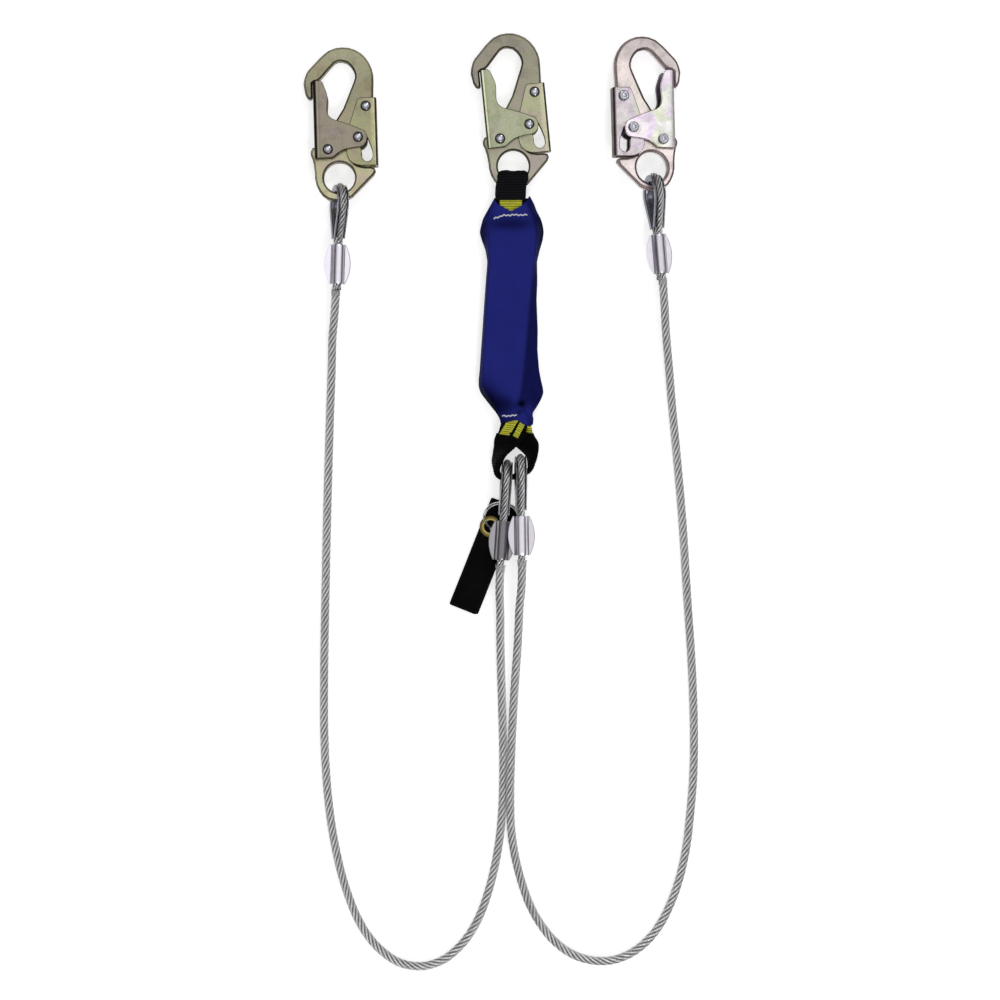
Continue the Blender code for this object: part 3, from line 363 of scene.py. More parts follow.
class Look(Nodes):
    """A procedural material."""

    def __init__(self, name, colour, metallic, roughness, **sockets):
        self.material = bpy.data.materials.new(name)
        self.material.use_nodes = True
        super().__init__(self.material.node_tree)
        self.shader = self.tree.nodes["Principled BSDF"]
        self.normal = None
        self.set(Base_Color=colour, Metallic=metallic, Roughness=roughness, **sockets)

    def set(self, **sockets):
        for name, value in sockets.items():
            self.feed(self.shader.inputs[name.replace("_", " ")], value)

    def coords(self, source="Object", spin=0.0):
        where = self.node("ShaderNodeTexCoord").outputs[source]
        return self.node("ShaderNodeMapping", Vector=where, Rotation=(0.0, 0.0, spin)).outputs["Vector"]

    def stored(self, name):
        return self.node("ShaderNodeAttribute", attribute_name=name).outputs["Fac"]

    def noise(self, size_mm, detail, roughness=0.5, distortion=0.0):
        """Noise whose features are about size_mm across, from 0 to 1."""
        return self.node("ShaderNodeTexNoise", Vector=self.coords(), Scale=1000.0 / size_mm, Detail=detail,
                         Roughness=roughness, Distortion=distortion).outputs["Fac"]

    def wave(self, pitch_mm, coords, direction="X", distortion=0.0):
        """Bands at a pitch, from 0 to 1."""
        return self.node("ShaderNodeTexWave", Vector=coords, Scale=1000.0 / pitch_mm * math.pi / 10.0,
                         bands_direction=direction, Distortion=distortion).outputs["Fac"]

    def bump(self, height, depth_mm):
        """Each bump is added on top of the last one."""
        made = self.node("ShaderNodeBump", Height=height, Distance=depth_mm * MM, Strength=1.0)
        if self.normal is not None:
            self.feed(made.inputs["Normal"], self.normal)
        self.normal = made.outputs["Normal"]
        self.set(Normal=self.normal)


def shaded(colour, factor):
    return tuple(min(1.0, c * factor) for c in colour)


# Tone bands on the plates are ramps over this much of a hook, in the millimetres of its frame: painted shade and
# painted highlights across the folds, painted shade on the far plates, and the bodies' lighter and darker stretches.
BANDS_FROM = -60.0
BANDS_SPAN = 200.0


def zinc_look(name, tones, to_hook, bands, down, deep):
    """Yellow-passivated zinc: a thin film whose tint drifts, over fine rolled and blasted steel. The bands are
    (x, level) across a folded plate, painted shade on its rolled-over side and a painted highlight where it turns;
    down is (y, level) along it and deep (z, level) through it, painted shade on far plates, in the millimetres of its
    hook."""
    roughness = 0.3
    look = Look(name, tones[1], 1.0, roughness)
    drift = look.noise(26.0, 2.0, distortion=0.6)
    tint = look.ramp(drift, list(zip((0.3, 0.45, 0.58, 0.72), tones)))
    grain = look.ramp(look.noise(1.3, 4.0, 0.7), [(0.32, 0.84), (0.66, 1.06)])
    stain = look.noise(11.0, 5.0, 0.6, 0.5)
    tone = look.times(look.times(tint, grain), look.ramp(stain, [(0.34, 0.8), (0.52, 1.0)]))
    spot = look.node("ShaderNodeMapping", Vector=look.node("ShaderNodeTexCoord").outputs["Object"],
                     Location=tuple(to_hook.translation), Rotation=tuple(to_hook.to_euler()),
                     Scale=(1000.0, 1000.0, 1000.0)).outputs["Vector"]
    axes = look.split(spot)
    for axis, stops in (("X", bands), ("Y", down), ("Z", deep)):
        if stops:
            place = look.math("MULTIPLY", look.math("ADD", axes[axis], -BANDS_FROM), 1.0 / BANDS_SPAN)
            # A ramp's colour ends at 1, so its stops are shares of the highest level.
            stops = [((c - BANDS_FROM) / BANDS_SPAN, v if isinstance(v, tuple) else (v,) * 3) for c, v in stops]
            most = max(max(v) for _, v in stops)
            ramp = look.ramp(place, [(c, tuple(w / most for w in v)) for c, v in stops])
            tone = look.times(look.times(tone, ramp), (most,) * 3)
    look.set(Base_Color=tone, Roughness=look.ramp(stain, [(0.3, roughness + 0.1), (0.65, roughness - 0.04)]))
    look.bump(look.noise(0.9, 2.0, 0.6), 0.02)
    return look.material


def steel_look(name, colour, roughness, grain_mm=0.8, depth=0.02, spread=0.12, painted_light=None):
    """Bare or plated steel. Levels, where given, are (place, level) of painted highlights and painted shade along the
    piece's attribute "place".
    """
    look = Look(name, colour, 1.0, roughness)
    cloud = look.noise(6.0, 4.0, 0.6)
    tone = look.mix(cloud, shaded(colour, 0.84), shaded(colour, 1.06))
    if painted_light:
        tone = look.times(tone, look.ramp(look.stored("place"), painted_light))
    look.set(Base_Color=tone,
             Roughness=look.ramp(cloud, [(0.3, roughness + spread), (0.7, roughness - spread * 0.4)]))
    look.bump(look.noise(grain_mm, 3.0, 0.6), depth)
    return look.material


def strand_look(name, colour, roughness, wire, painted_light):
    """Bright wire rope: thin wires that wind the other way round each strand, with painted shade in the valleys
    between the strands.
    """
    look = Look(name, colour, 1.0, roughness)
    wires = look.wave(0.42, look.coords("UV", math.radians(-24.0)))
    grime = look.ramp(look.noise(4.0, 4.0, 0.6), [(0.35, 0.8), (0.6, 1.0)])
    tone = look.mix(wires, shaded(colour, wire), shaded(colour, 1.1))
    tone = look.times(tone, look.ramp(look.stored("depth"), painted_light))
    look.set(Base_Color=look.times(tone, grime))
    look.bump(wires, 0.06)
    return look.material


def ribbed_look(name, colour, groove_shade, shine=0.1, pitch=2.2, edge=None, half=None):
    """Webbing: ribs across the strap and yarns along them, with painted shade in the grooves between the ribs. UV u is
    the place across, from the middle; past half of it the strap has the edge's colour."""
    look = Look(name, colour, 0.0, 0.75, Specular_IOR_Level=shine)
    uv = look.coords("UV")
    picks = look.wave(pitch, uv, "Y")
    weave = look.math("MULTIPLY", look.math("ADD", look.wave(0.62, uv), look.wave(pitch / 2.0, uv, "Y")), 0.5)
    base = look.mix(weave, shaded(colour, 0.5), shaded(colour, 1.35))
    if edge is not None:
        border = look.math("GREATER_THAN", look.math("ABSOLUTE", look.split(uv)["X"]), half)
        base = look.mix(border, base, edge)
    base = look.times(base, look.ramp(picks, [(0.1, groove_shade), (0.55, 1.0)]))
    look.set(Base_Color=look.times(base, look.ramp(look.noise(9.0, 3.0), [(0.35, 0.82), (0.65, 1.0)])))
    look.bump(picks, 0.25)
    look.bump(weave, 0.12)
    look.bump(look.noise(0.5, 4.0, 0.7), 0.05)
    return look.material


def cover_look():
    """Tight woven nylon cloth with a soft sheen, darker where the attribute "place" is low: painted shade."""
    colour = (0.0185, 0.0230, 0.198)
    look = Look("cover_nylon", colour, 0.0, 0.5, IOR=1.12, Specular_Tint=(0.2, 0.25, 1.0))
    spot = look.coords()
    weave = look.math("MULTIPLY", look.wave(0.55, spot, "X", 0.4), look.wave(0.55, spot, "Y", 0.4))
    cloud = look.noise(14.0, 4.0, 0.55)
    tone = look.mix(cloud, shaded(colour, 0.86), shaded(colour, 1.12))
    tone = look.mix(look.math("MULTIPLY", weave, 0.35), tone, shaded(colour, 0.55))
    look.set(Base_Color=look.times(tone, look.ramp(look.stored("place"), [(0.0, 0.0), (1.0, 1.0)])),
             Roughness=look.ramp(cloud, [(0.3, 0.54), (0.7, 0.46)]))
    look.bump(weave, 0.05)
    look.bump(look.noise(9.0, 4.0, 0.55, 0.8), 0.25)
    return look.material


def tag_look():
    colour = (0.0014, 0.0014, 0.0018)
    look = Look("tag_fabric", colour, 0.0, 0.6, Specular_IOR_Level=0.04)
    spot = look.coords("UV")
    cloud = look.noise(16.0, 4.0, 0.6)
    look.set(Base_Color=look.mix(cloud, shaded(colour, 0.7), shaded(colour, 1.7)),
             Roughness=look.ramp(cloud, [(0.3, 0.68), (0.7, 0.5)]))
    look.bump(look.math("MULTIPLY", look.wave(0.8, spot, "X"), look.wave(0.8, spot, "Y")), 0.05)
    look.bump(cloud, 0.3)
    return look.material


def coat_look():
    """Clear vinyl over the rope, a little milky and scuffed."""
    look = Look("clear_vinyl", (0.60, 0.60, 0.62), 0.0, 0.22, Alpha=0.1, IOR=1.5)
    look.set(Roughness=look.ramp(look.noise(3.0, 5.0, 0.65), [(0.35, 0.16), (0.7, 0.42)]))
    look.bump(look.noise(1.6, 3.0, 0.6), 0.04)
    return look.material


def vinyl_end_look():
    look = Look("vinyl_end", (0.55, 0.55, 0.57), 0.0, 0.22, Alpha=0.35)
    look.bump(look.noise(1.2, 3.0, 0.6), 0.15)
    return look.material


def thread_look(name, colour):
    look = Look(name, colour, 0.0, 0.6, Specular_IOR_Level=0.2)
    twist = look.wave(0.5, look.coords("UV", 0.6))
    look.set(Base_Color=look.mix(twist, shaded(colour, 0.7), colour))
    look.bump(twist, 0.08)
    return look.material


ZINC_TONES = {
    ("left", "hook_body"): [(0.36, 0.30, 0.25), (0.38, 0.345, 0.22), (0.36, 0.36, 0.235), (0.42, 0.335, 0.28)],
    ("left", "gate"): [(0.31, 0.25, 0.25), (0.33, 0.28, 0.24), (0.33, 0.30, 0.22), (0.36, 0.28, 0.27)],
    ("left", "lock_lever"): [(0.40, 0.36, 0.24), (0.36, 0.35, 0.22), (0.40, 0.39, 0.22), (0.42, 0.34, 0.28)],
    ("pack", "hook_body"): [(0.34, 0.30, 0.28), (0.35, 0.32, 0.25), (0.35, 0.35, 0.25), (0.38, 0.32, 0.29)],
    ("pack", "gate"): [(0.44, 0.44, 0.30), (0.42, 0.45, 0.29), (0.45, 0.46, 0.33), (0.46, 0.42, 0.32)],
    ("pack", "lock_lever"): [(0.50, 0.44, 0.36), (0.44, 0.46, 0.28), (0.48, 0.42, 0.33), (0.46, 0.48, 0.30)],
    ("right", "hook_body"): [(0.52, 0.45, 0.45), (0.48, 0.43, 0.42), (0.55, 0.48, 0.47), (0.50, 0.46, 0.42)],
    ("right", "gate"): [(0.86, 0.80, 0.82), (0.88, 0.72, 0.92), (0.84, 0.82, 0.80), (0.78, 0.84, 0.62)],
    ("right", "lock_lever"): [(0.62, 0.58, 0.58), (0.66, 0.56, 0.66), (0.62, 0.62, 0.54), (0.64, 0.68, 0.48)],
}
# Across each folded plate: painted shade on its rolled-over side, with a painted highlight line where it turns.
GATE_SHADE_BANDS = {
    "left": [(-24.0, 0.05), (-18.1, 0.07), (-17.7, 1.5), (-17.1, 1.5), (-16.8, 0.4), (-16.0, 0.9), (-14.5, 1.0)],
    "pack": [(-24.0, 0.05), (-19.9, 0.06), (-19.6, 2.2), (-18.5, 2.2), (-18.1, 0.5), (-17.4, 0.9), (-15.0, 1.0)],
    "right": [(-24.0, 0.14), (-20.1, 0.18), (-19.7, 1.15), (-18.4, 1.15), (-18.0, 0.55), (-17.3, 1.0)],
}
LEVER_SHADE_BANDS = [(28.0, 1.0), (29.6, 1.25), (32.3, 1.3), (32.8, 0.10), (36.0, 0.08)]
PEARL_LEVER_SHADE_BANDS = [(28.0, 1.0), (31.8, 1.0), (32.3, 0.34), (32.9, (0.13, 0.10, 0.08)), (36.0, (0.08, 0.06, 0.05))]
# The right hook is tilted, so the inside of its far plates shows, in the shade of the near ones.
PEARL_DEEP = [(-3.0, 1.0), (0.0, 0.3), (10.0, 0.22)]
# The bodies get lighter towards the eye.
BODY_DOWN = {"left": [(-10.0, 1.6), (30.0, 1.15), (80.0, 0.86), (110.0, 1.08)],
             "pack": [(-10.0, 1.25), (60.0, 1.0), (110.0, 0.92)],
             "right": [(-5.0, 1.5), (40.0, 1.5), (85.0, 1.4), (112.0, 1.08)]}
# Dark metals for the rim lines and roundings along the plates' edges: painted shade.
ZINC_EDGE_SHADE = steel_look("zinc_edge", (0.06, 0.05, 0.038), 0.35)
PEARL_EDGE_SHADE = steel_look("pearl_edge", (0.19, 0.145, 0.14), 0.35)
# Rivet heads with painted light along their radius: a painted highlight in the middle of a domed head, painted shade
# towards its rim; on a flat back, painted light on its raised ring and painted shade inside it and towards the rim.
RIVET_ZINC = steel_look("rivet_zinc", (0.86, 0.87, 0.98), 0.22, depth=0.004, spread=0.03, painted_light=[
    (0.0, 1.0), (0.2, 0.86), (0.4, 0.36), (0.66, 0.24), (0.84, 0.11), (1.0, 0.04)])
RIVET_BACK = steel_look("rivet_back", (0.86, 0.87, 0.98), 0.28, depth=0.004, spread=0.03, painted_light=[
    (0.0, 0.55), (0.2, 0.85), (0.34, 0.34), (0.46, 0.85), (0.68, 0.7), (0.86, 0.4), (1.0, 0.12)])
SPRING_STEEL = steel_look("spring_wire", (0.42, 0.42, 0.44), 0.35)
# Two copies of one galvanised steel: a darker, painted-shade copy for the hooks' thimbles and a lighter, lit copy for
# the pack's, with painted shade towards the crown of its loop.
THIMBLE_SHADED = steel_look("galvanised_steel", (0.20, 0.205, 0.245), 0.22, 1.2, 0.004, 0.04)
THIMBLE_LIT = steel_look("galvanised_pale", (0.56, 0.56, 0.61), 0.26, 1.2, 0.004, 0.05, [
    (0.0, 1.0), (0.42, 0.9), (0.6, 0.36), (1.0, 0.26)])


def alloy_look(name, colour, left_dark, left, middle, right, right_dark, wing):
    """A pressed ferrule with its light painted on: pale wings of flash, and a barrel with a painted highlight and
    painted shade towards its sides. The shades are (x, level) across the ferrule in millimetres."""
    shades = [(-FERRULE_HALF, wing), (-6.5, wing), (-5.9, 0.55 * wing), (-5.5, left_dark), (-4.4, left_dark * 1.6),
              (-3.4, left), (-1.4, middle), (0.8, middle), (2.4, right), (4.2, right_dark * 1.6),
              (5.4, right_dark), (5.8, 0.5 * wing), (6.6, wing), (FERRULE_HALF, wing)]
    return steel_look(name, colour, 0.3, 1.0, 0.004, 0.05, [
        ((x + FERRULE_HALF) / (2 * FERRULE_HALF), (v * 0.94, v * 0.90, v)) for x, v in shades])


# Each ferrule has its own painted light; the left one on the pack is painted darker overall, as painted shade under
# the other's wing.
ALLOY_LOOKS = {
    ("left", "hook"): alloy_look("pressed_alloy_1", (1.0, 1.0, 1.0), 0.32, 0.6, 0.98, 0.75, 0.24, 1.05),
    ("right", "hook"): alloy_look("pressed_alloy_2", (1.0, 1.0, 1.0), 0.40, 1.0, 0.74, 0.50, 0.24, 0.88),
    ("left", "pack"): alloy_look("pressed_alloy_3", (0.36, 0.36, 0.35), 0.55, 0.62, 0.62, 0.58, 0.45, 1.1),
    ("right", "pack"): alloy_look("pressed_alloy_4", (1.0, 1.0, 1.0), 0.45, 0.72, 0.84, 0.80, 0.48, 0.74),
}
# Both ropes get painted shade in the valleys between their strands, by depth.
WIRE_BARE = strand_look("bare_strands", (0.93, 0.93, 0.93), 0.32, 0.35, [
    (0.66, 0.02), (0.80, 0.07), (0.89, 0.45), (0.96, 1.0), (1.0, 1.0)])
WIRE_COATED = strand_look("coated_strands", (0.90, 0.90, 0.93), 0.42, 0.7, [
    (0.66, 0.06), (0.80, 0.16), (0.88, 0.5), (0.95, 0.72), (1.0, 1.0)])
COAT_CLEAR = coat_look()
VINYL_END = vinyl_end_look()
COVER_CLOTH = cover_look()
WEB_EDGE = (0.005, 0.005, 0.005)
BLACK_WEB = ribbed_look("black_webbing", (0.0075, 0.0075, 0.0095), 0.04)
# A darker copy of the black webbing, for painted shade: on the lower sleeve, and on the yellow strap past the cover's
# end.
SHADED_BLACK_WEB = ribbed_look("lower_black", (0.0060, 0.0060, 0.0072), 0.04, 0.03)
YELLOW_WEB = ribbed_look("yellow_webbing", (0.66, 0.66, 0.055), 0.34, edge=WEB_EDGE, half=9.6 * MM)
YELLOW_FOLD = ribbed_look("yellow_fold", (0.68, 0.68, 0.060), 0.30, pitch=2.1, edge=WEB_EDGE, half=4.5 * MM)
TAG_CLOTH = tag_look()
# The eyelet's brass has painted light along its radius: a painted highlight ring round its middle and painted shade at
# its rims.
BRASS = steel_look("brass", (0.62, 0.50, 0.15), 0.24, 0.8, 0.004, 0.04, painted_light=[
    (0.52, 0.14), (0.60, 0.30), (0.68, 0.95), (0.74, 0.40), (0.86, 0.24), (0.95, 0.40), (1.0, 0.12)])
RING_STEEL = steel_look("ring_steel", (0.88, 0.87, 0.84), 0.3, 0.8, 0.01)
WHITE_THREAD = thread_look("white_thread", (0.72, 0.72, 0.80))
BLACK_THREAD = thread_look("black_thread", (0.006, 0.006, 0.007))


# ---- camera, lamps and floor

PAPER_GREY = 0.62
PAPER_GLOW = 0.64
# The world's level at each height of a direction, from the horizon at 0 to straight up at 1.
SKY = [(0.0, 0.04), (0.3, 0.08), (0.55, 0.22), (0.72, 0.5), (0.86, 0.85), (1.0, 1.0)]


def add_lamp(name, place, size, power):
    light = bpy.data.lights.new(name, "AREA")
    light.shape = "RECTANGLE"
    light.size, light.size_y = size
    light.energy = power
    obj = bpy.data.objects.new(name, light)
    obj.location = place
    aim = Vector((0.0, -0.15, 0.0)) - Vector(place)
    obj.rotation_euler = aim.to_track_quat("-Z", "Y").to_euler()
    bpy.context.scene.collection.objects.link(obj)


def make_sky(world):
    """A soft box overhead that fades to a dim horizon, and plain white where the camera sees it."""
    world.use_nodes = True
    sky = Nodes(world.node_tree)
    height = sky.split(sky.node("ShaderNodeTexCoord").outputs["Generated"])["Z"]
    seen = sky.node("ShaderNodeLightPath").outputs["Is Camera Ray"]
    backdrop = sky.tree.nodes["Background"]
    sky.feed(backdrop.inputs["Color"], (1.0, 1.0, 1.0))
    sky.feed(backdrop.inputs["Strength"], sky.math("MAXIMUM", seen, sky.ramp(height, SKY)))


def paper_look():
    """Grey paper that takes the shadows, with a glow of its own for the rays that are seen, which makes it white."""
    paper = bpy.data.materials.new("paper")
    paper.use_nodes = True
    look = Nodes(paper.node_tree)
    look.tree.nodes.remove(look.tree.nodes["Principled BSDF"])
    rays = look.node("ShaderNodeLightPath").outputs
    seen = look.math("MAXIMUM", rays["Is Camera Ray"], rays["Is Glossy Ray"])
    seen = look.math("MAXIMUM", seen, rays["Is Transmission Ray"])
    card = look.node("ShaderNodeBsdfDiffuse", (PAPER_GREY,) * 3).outputs[0]
    glow = look.node("ShaderNodeEmission", (1.0, 1.0, 1.0), look.math("MULTIPLY", seen, PAPER_GLOW)).outputs[0]
    both = look.node("ShaderNodeAddShader", card, glow).outputs[0]
    look.feed(look.tree.nodes["Material Output"].inputs["Surface"], both)
    return paper


def make_studio():
    scene = bpy.context.scene
    scene.view_settings.view_transform = "Standard"
    lens = bpy.data.cameras.new("camera")
    lens.sensor_width = 36.0
    lens.lens = 112.7
    lens.clip_end = 20.0
    camera = bpy.data.objects.new("camera", lens)
    camera.location = (PHOTO_AXIS[0] * MM, PHOTO_AXIS[1] * MM, PHOTO_HIGH * MM)
    scene.collection.objects.link(camera)
    scene.camera = camera
    scene.world = bpy.data.worlds.new("studio")
    make_sky(scene.world)

    add_lamp("key", (0.5, -1.4, 2.3), (0.5, 0.5), 13.0)
    add_lamp("back", (0.6, 1.7, 2.0), (0.4, 0.4), 10.0)
    add_lamp("side_left", (-1.6, 0.8, 1.4), (0.2, 1.2), 0.8)
    add_lamp("side_right", (1.5, 0.7, 2.3), (1.0, 0.8), 2.0)

    half, low = 6.0, -0.0006
    mesh = bpy.data.meshes.new("floor")
    mesh.from_pydata([(-half, -half, low), (half, -half, low), (half, half, low), (-half, half, low)], [],
                     [(0, 1, 2, 3)])
    mesh.materials.append(paper_look())
    floor = bpy.data.objects.new("floor", mesh)
    scene.collection.objects.link(floor)


make_studio()


# ---- cables and their ends

LOOP_LONG = 52.0

# Where each cable's centre line runs, as x and y and the height of that line, which lies at LAID when none is given.
LAID = 4.15
ROUTES = {
    "left": [
        (-139.3, -5.4, 11.5), (-140.4, -36.9, 6.6), (-141.7, -68.4, 4.2), (-143, -110), (-144.6, -170),
        (-146, -236.4), (-147.1, -300), (-147, -357.2), (-145.3, -393.9), (-142.3, -425.4), (-137.3, -456.9),
        (-129.6, -488.4), (-117.5, -519.9), (-103.7, -540.9), (-83.9, -556.9), (-62.9, -561.4), (-41.9, -555.3),
        (-27.9, -543.6), (-13.9, -523.7), (-3.4, -496.7), (3.8, -467.4), (8.2, -435.9), (9.8, -404.4), (9.9, -372.9),
        (9.2, -341.4, 4.2), (8.2, -309.9, 5.4), (7.4, -278.4, 8.2), (7.2, -246.9, 13.4),
    ],
    "right": [
        (151.9, -5.4, 17), (155, -36.9, 9.6), (157.8, -68.4, 5.2), (161.8, -110), (167, -170), (171.2, -236.4),
        (175.4, -300), (177.2, -357.2), (176.6, -393.9), (174.1, -425.4), (170.4, -456.9), (163.2, -488.4),
        (150.2, -519.9), (136.8, -538.3), (117.3, -552.3), (96.3, -557), (75.3, -552.8), (61.3, -544.9),
        (47.3, -530.9, 4.2), (34.2, -509.4, 5.2), (23.4, -477.9, 7), (17.5, -446.4, 8.6), (16, -414.9, 9.4),
        (16.6, -383.4, 9.6), (18.4, -341.4, 10.2), (20.6, -306.4, 11.6), (22.8, -274.9, 15.4), (24, -246.9, 21),
    ],
}


def cable_path(side):
    """The cable's centre line from its hook's ferrule to the pack's, through the same points as the part's."""
    tops, ends = EYES[side, "hook"], EYES[side, "pack"]
    out = [tops @ Vector((0.0, -COAT_FROM - d, LIVE[side, "hook"] * LANE)) for d in (GAP, 4.0, 14.0)]
    back = [ends @ Vector((0.0, -COAT_FROM - d, LIVE[side, "pack"] * LANE)) for d in (14.0, 4.0, GAP)]
    knots = out[1:] + [Vector((*k, LAID)[:3]) - DATUM for k in ROUTES[side]] + back[:2]
    return out[:1] + smooth_path(knots, 19.0) + back[2:]


def crown_slope():
    reach = math.hypot(CROWN_U - THROAT_U, THROAT_V)
    return math.asin(CROWN_ROPE_R / reach) - math.atan2(THROAT_V, CROWN_U - THROAT_U)


def crown_arc(steps):
    slope = math.degrees(crown_slope())
    return arc(CROWN_U, 0.0, CROWN_ROPE_R, 90.0 + slope, -90.0 - slope, steps)


def rope_eye_path(live):
    flat = [(-COAT_FROM, LANE), (-20.0, LANE), (-0.5, LANE), (2.4, LANE + 0.45), (THROAT_U, THROAT_V)]
    flat += crown_arc(15)
    flat += [(THROAT_U, -THROAT_V), (2.4, -LANE - 0.45), (-0.5, -LANE), (-FERRULE_LONG - 0.6, -LANE),
             (-STUB_END, -LANE - 0.4)]
    return smooth_path([(0.0, u, live * v) for u, v in flat], 1.6)


def make_thimble(name, matrix, look):
    """A grooved channel round the loop, with rolled lips."""
    seat = -(ROPE_R + GAP)
    lip, wide, under = 1.2, 4.7, seat - THIMBLE_WALL
    inner = wide - THIMBLE_WALL
    half = [(1.6, under - 0.05), (3.2, under), (wide - 0.9, seat - 0.7), (wide - 0.3, seat - 0.1),
            (wide - 0.05, seat + 0.7), (wide, seat + 1.6), (wide, lip - 0.5), (wide - 0.2, lip - 0.1),
            (wide - 0.55, lip), (inner + 0.1, lip - 0.2), (inner, lip - 0.6), (inner, seat + 2.2),
            (inner - 0.5, seat + 1.0), (2.2, seat)]
    other = [(-x, r) for x, r in half[::-1]]
    section = other[-2:] + half + other[:-2]
    slope = crown_slope()
    loop = crown_arc(60)
    straight = 10
    first = [(THROAT_U + (loop[0][0] - THROAT_U) * k / straight, THROAT_V + (loop[0][1] - THROAT_V) * k / straight)
             for k in range(straight)]
    path = first + loop + [(u, -v) for u, v in first[::-1]]
    rings = []
    for i, (u, v) in enumerate(path):
        if straight < i < len(path) - 1 - straight:
            size = math.hypot(u - CROWN_U, v)
            out = ((u - CROWN_U) / size, v / size)
        else:
            out = (-math.sin(slope), math.copysign(math.cos(slope), v))
        rings.append([(x, u + out[0] * r, v + out[1] * r) for x, r in section])
    return lofted(name, rings, look, matrix=matrix)


def make_ferrule(name, matrix, look):
    """A pressed sleeve: a rounded body, two thin wings of flash and one bore for both ropes."""
    t = 0.7
    r = ROPE_R + GAP
    steps = 34

    def ring(quarter, y):
        half = quarter + [(-x, z) for x, z in quarter[::-1]]
        return [(x, y, z) for x, z in half + [(-x, -z) for x, z in half]]

    rings = []
    for k in range(steps + 1):
        s = k / steps
        wing = 6.6 + 5.1 * math.sin(math.pi * (0.02 + 0.96 * s)) ** 0.8
        squeeze = {0: 0.95, 1: 0.985}.get(min(k, steps - k), 1.0)
        flash = [(wing, t * 0.55), (wing - 0.5, t), (wing - 0.8, t), (6.55, t), (6.4, t)]
        barrel = [(6.0, t + 0.35), (5.8, t + 1.1), (5.5, 3.2), (5.0, 4.9), (4.1, 6.6), (2.9, 7.8), (1.5, 8.3)]
        rings.append(ring(flash + [(x * squeeze, z * squeeze) for x, z in barrel], -FERRULE_LONG * s))
    # The bore has as many corners as the outside, so that one skin covers both.
    lane = arc(0.0, LANE, r, 0.0, 90.0, 11)
    return lofted(name, rings + [ring(lane, y) for y in (-FERRULE_LONG, 0.0)], look, "round", matrix)


def make_legs():
    for side in ("left", "right"):
        body = f"{side}_leg"
        fine = smooth_path(cable_path(side), 2.2)
        coat = joined(f"{side}_cable_coat", [tube_skin(fine, CABLE_R, 20)], COAT_CLEAR)
        strands = rope(f"{side}_cable_strands", fine, COATED_ROPE_R, WIRE_COATED, 11, ROPE_LAY)
        for which in ("hook", "pack"):
            key, part = (side, which), f"{side}_{which}"
            matrix = EYES[key]
            eye = rope(f"{part}_strands", rope_eye_path(LIVE[key]), ROPE_R, WIRE_BARE, 10, BARE_LAY, matrix)
            thimble = make_thimble(f"{part}_grooved_thimble", matrix,
                                   THIMBLE_LIT if which == "pack" else THIMBLE_SHADED)
            # place runs along the loop and across the ferrule, for their painted shade and highlights.
            stamp(thimble, matrix, lambda p: p.y / LOOP_LONG)
            ferrule = make_ferrule(f"{part}_pressed_ferrule", matrix, ALLOY_LOOKS[key])
            stamp(ferrule, matrix, lambda p: (p.x + FERRULE_HALF) / (2 * FERRULE_HALF))
            flare = make_flare(f"{part}_coat_end", matrix, LIVE[key], 0.9 if which == "pack" else 0.35)
            belongs(eye, body, "bare_rope", f"{part}_rope_eye")
            belongs(thimble, body, "thimble_steel", f"{part}_thimble")
            belongs(ferrule, body, "ferrule_alloy", f"{part}_ferrule")
            belongs(flare, body, "coated_cable")
        for piece in (coat, strands):
            belongs(piece, body, "coated_cable", f"{side}_cable")


def make_flare(name, matrix, live, spread):
    """The cut end of the vinyl, split and spread a little where it was pushed back from the ferrule."""
    rings = []
    for k in range(7):
        s = k / 6.0
        ring = []
        for a in turns(26):
            ragged = 0.5 * noise.noise((3.0 * math.cos(a), 3.0 * math.sin(a), 7.0 + live + spread))
            r = CABLE_R + 0.12 + (spread + 1.3 * ragged * spread) * (1.0 - s) ** 2
            y = -COAT_FROM + (1.6 + 2.4 * ragged) * (1.0 - s) - 4.5 * s
            ring.append((r * math.cos(a), y, live * LANE + r * math.sin(a)))
        rings.append(ring)
    inner = [[(x * 0.86, y, live * LANE + (z - live * LANE) * 0.86) for x, y, z in ring] for ring in rings[::-1]]
    return lofted(name, rings + inner, VINYL_END, "round", matrix)


make_legs()


# ---- hooks

# Edges that turn by more than SHARP degrees get a rim in a dark metal, painted shade along the edge: a line RIM_R in
# radius, or a rounding. The lines on a sheet keep to its outer face, RIM_BEYOND and more from the middle plane, so
# that none reaches the plate under it.
SHARP = 40.0
RIM_R = 0.26
RIM_BEYOND = {"hook_body": 0.0, "lock_lever": 4.6, "gate": 6.9}
BODY_ROUND = 1.2


def node_group(name):
    """A tree for a geometry modifier, with the nodes where the geometry comes in and goes out."""
    tree = bpy.data.node_groups.new(name, "GeometryNodeTree")
    for way in ("INPUT", "OUTPUT"):
        tree.interface.new_socket("Geometry", in_out=way, socket_type="NodeSocketGeometry")
    group = Nodes(tree)
    return group, group.node("NodeGroupInput"), group.node("NodeGroupOutput")


def edges_by_angle(group, operation, degrees):
    angle = group.node("GeometryNodeInputMeshEdgeAngle").outputs["Unsigned Angle"]
    return group.node("FunctionNodeCompare", angle, math.radians(degrees), operation=operation).outputs[0]


def smooth_group():
    """Geometry nodes that shade faces smooth except over edges that turn by more than a set angle."""
    group, start, end = node_group("smooth_by_angle")
    faces = group.node("GeometryNodeSetShadeSmooth", Geometry=start.outputs[0])
    edges = group.node("GeometryNodeSetShadeSmooth", domain="EDGE", Geometry=faces.outputs[0],
                       Shade_Smooth=edges_by_angle(group, "LESS_THAN", 32.0))
    group.feed(end.inputs[0], edges.outputs[0])
    return group.tree


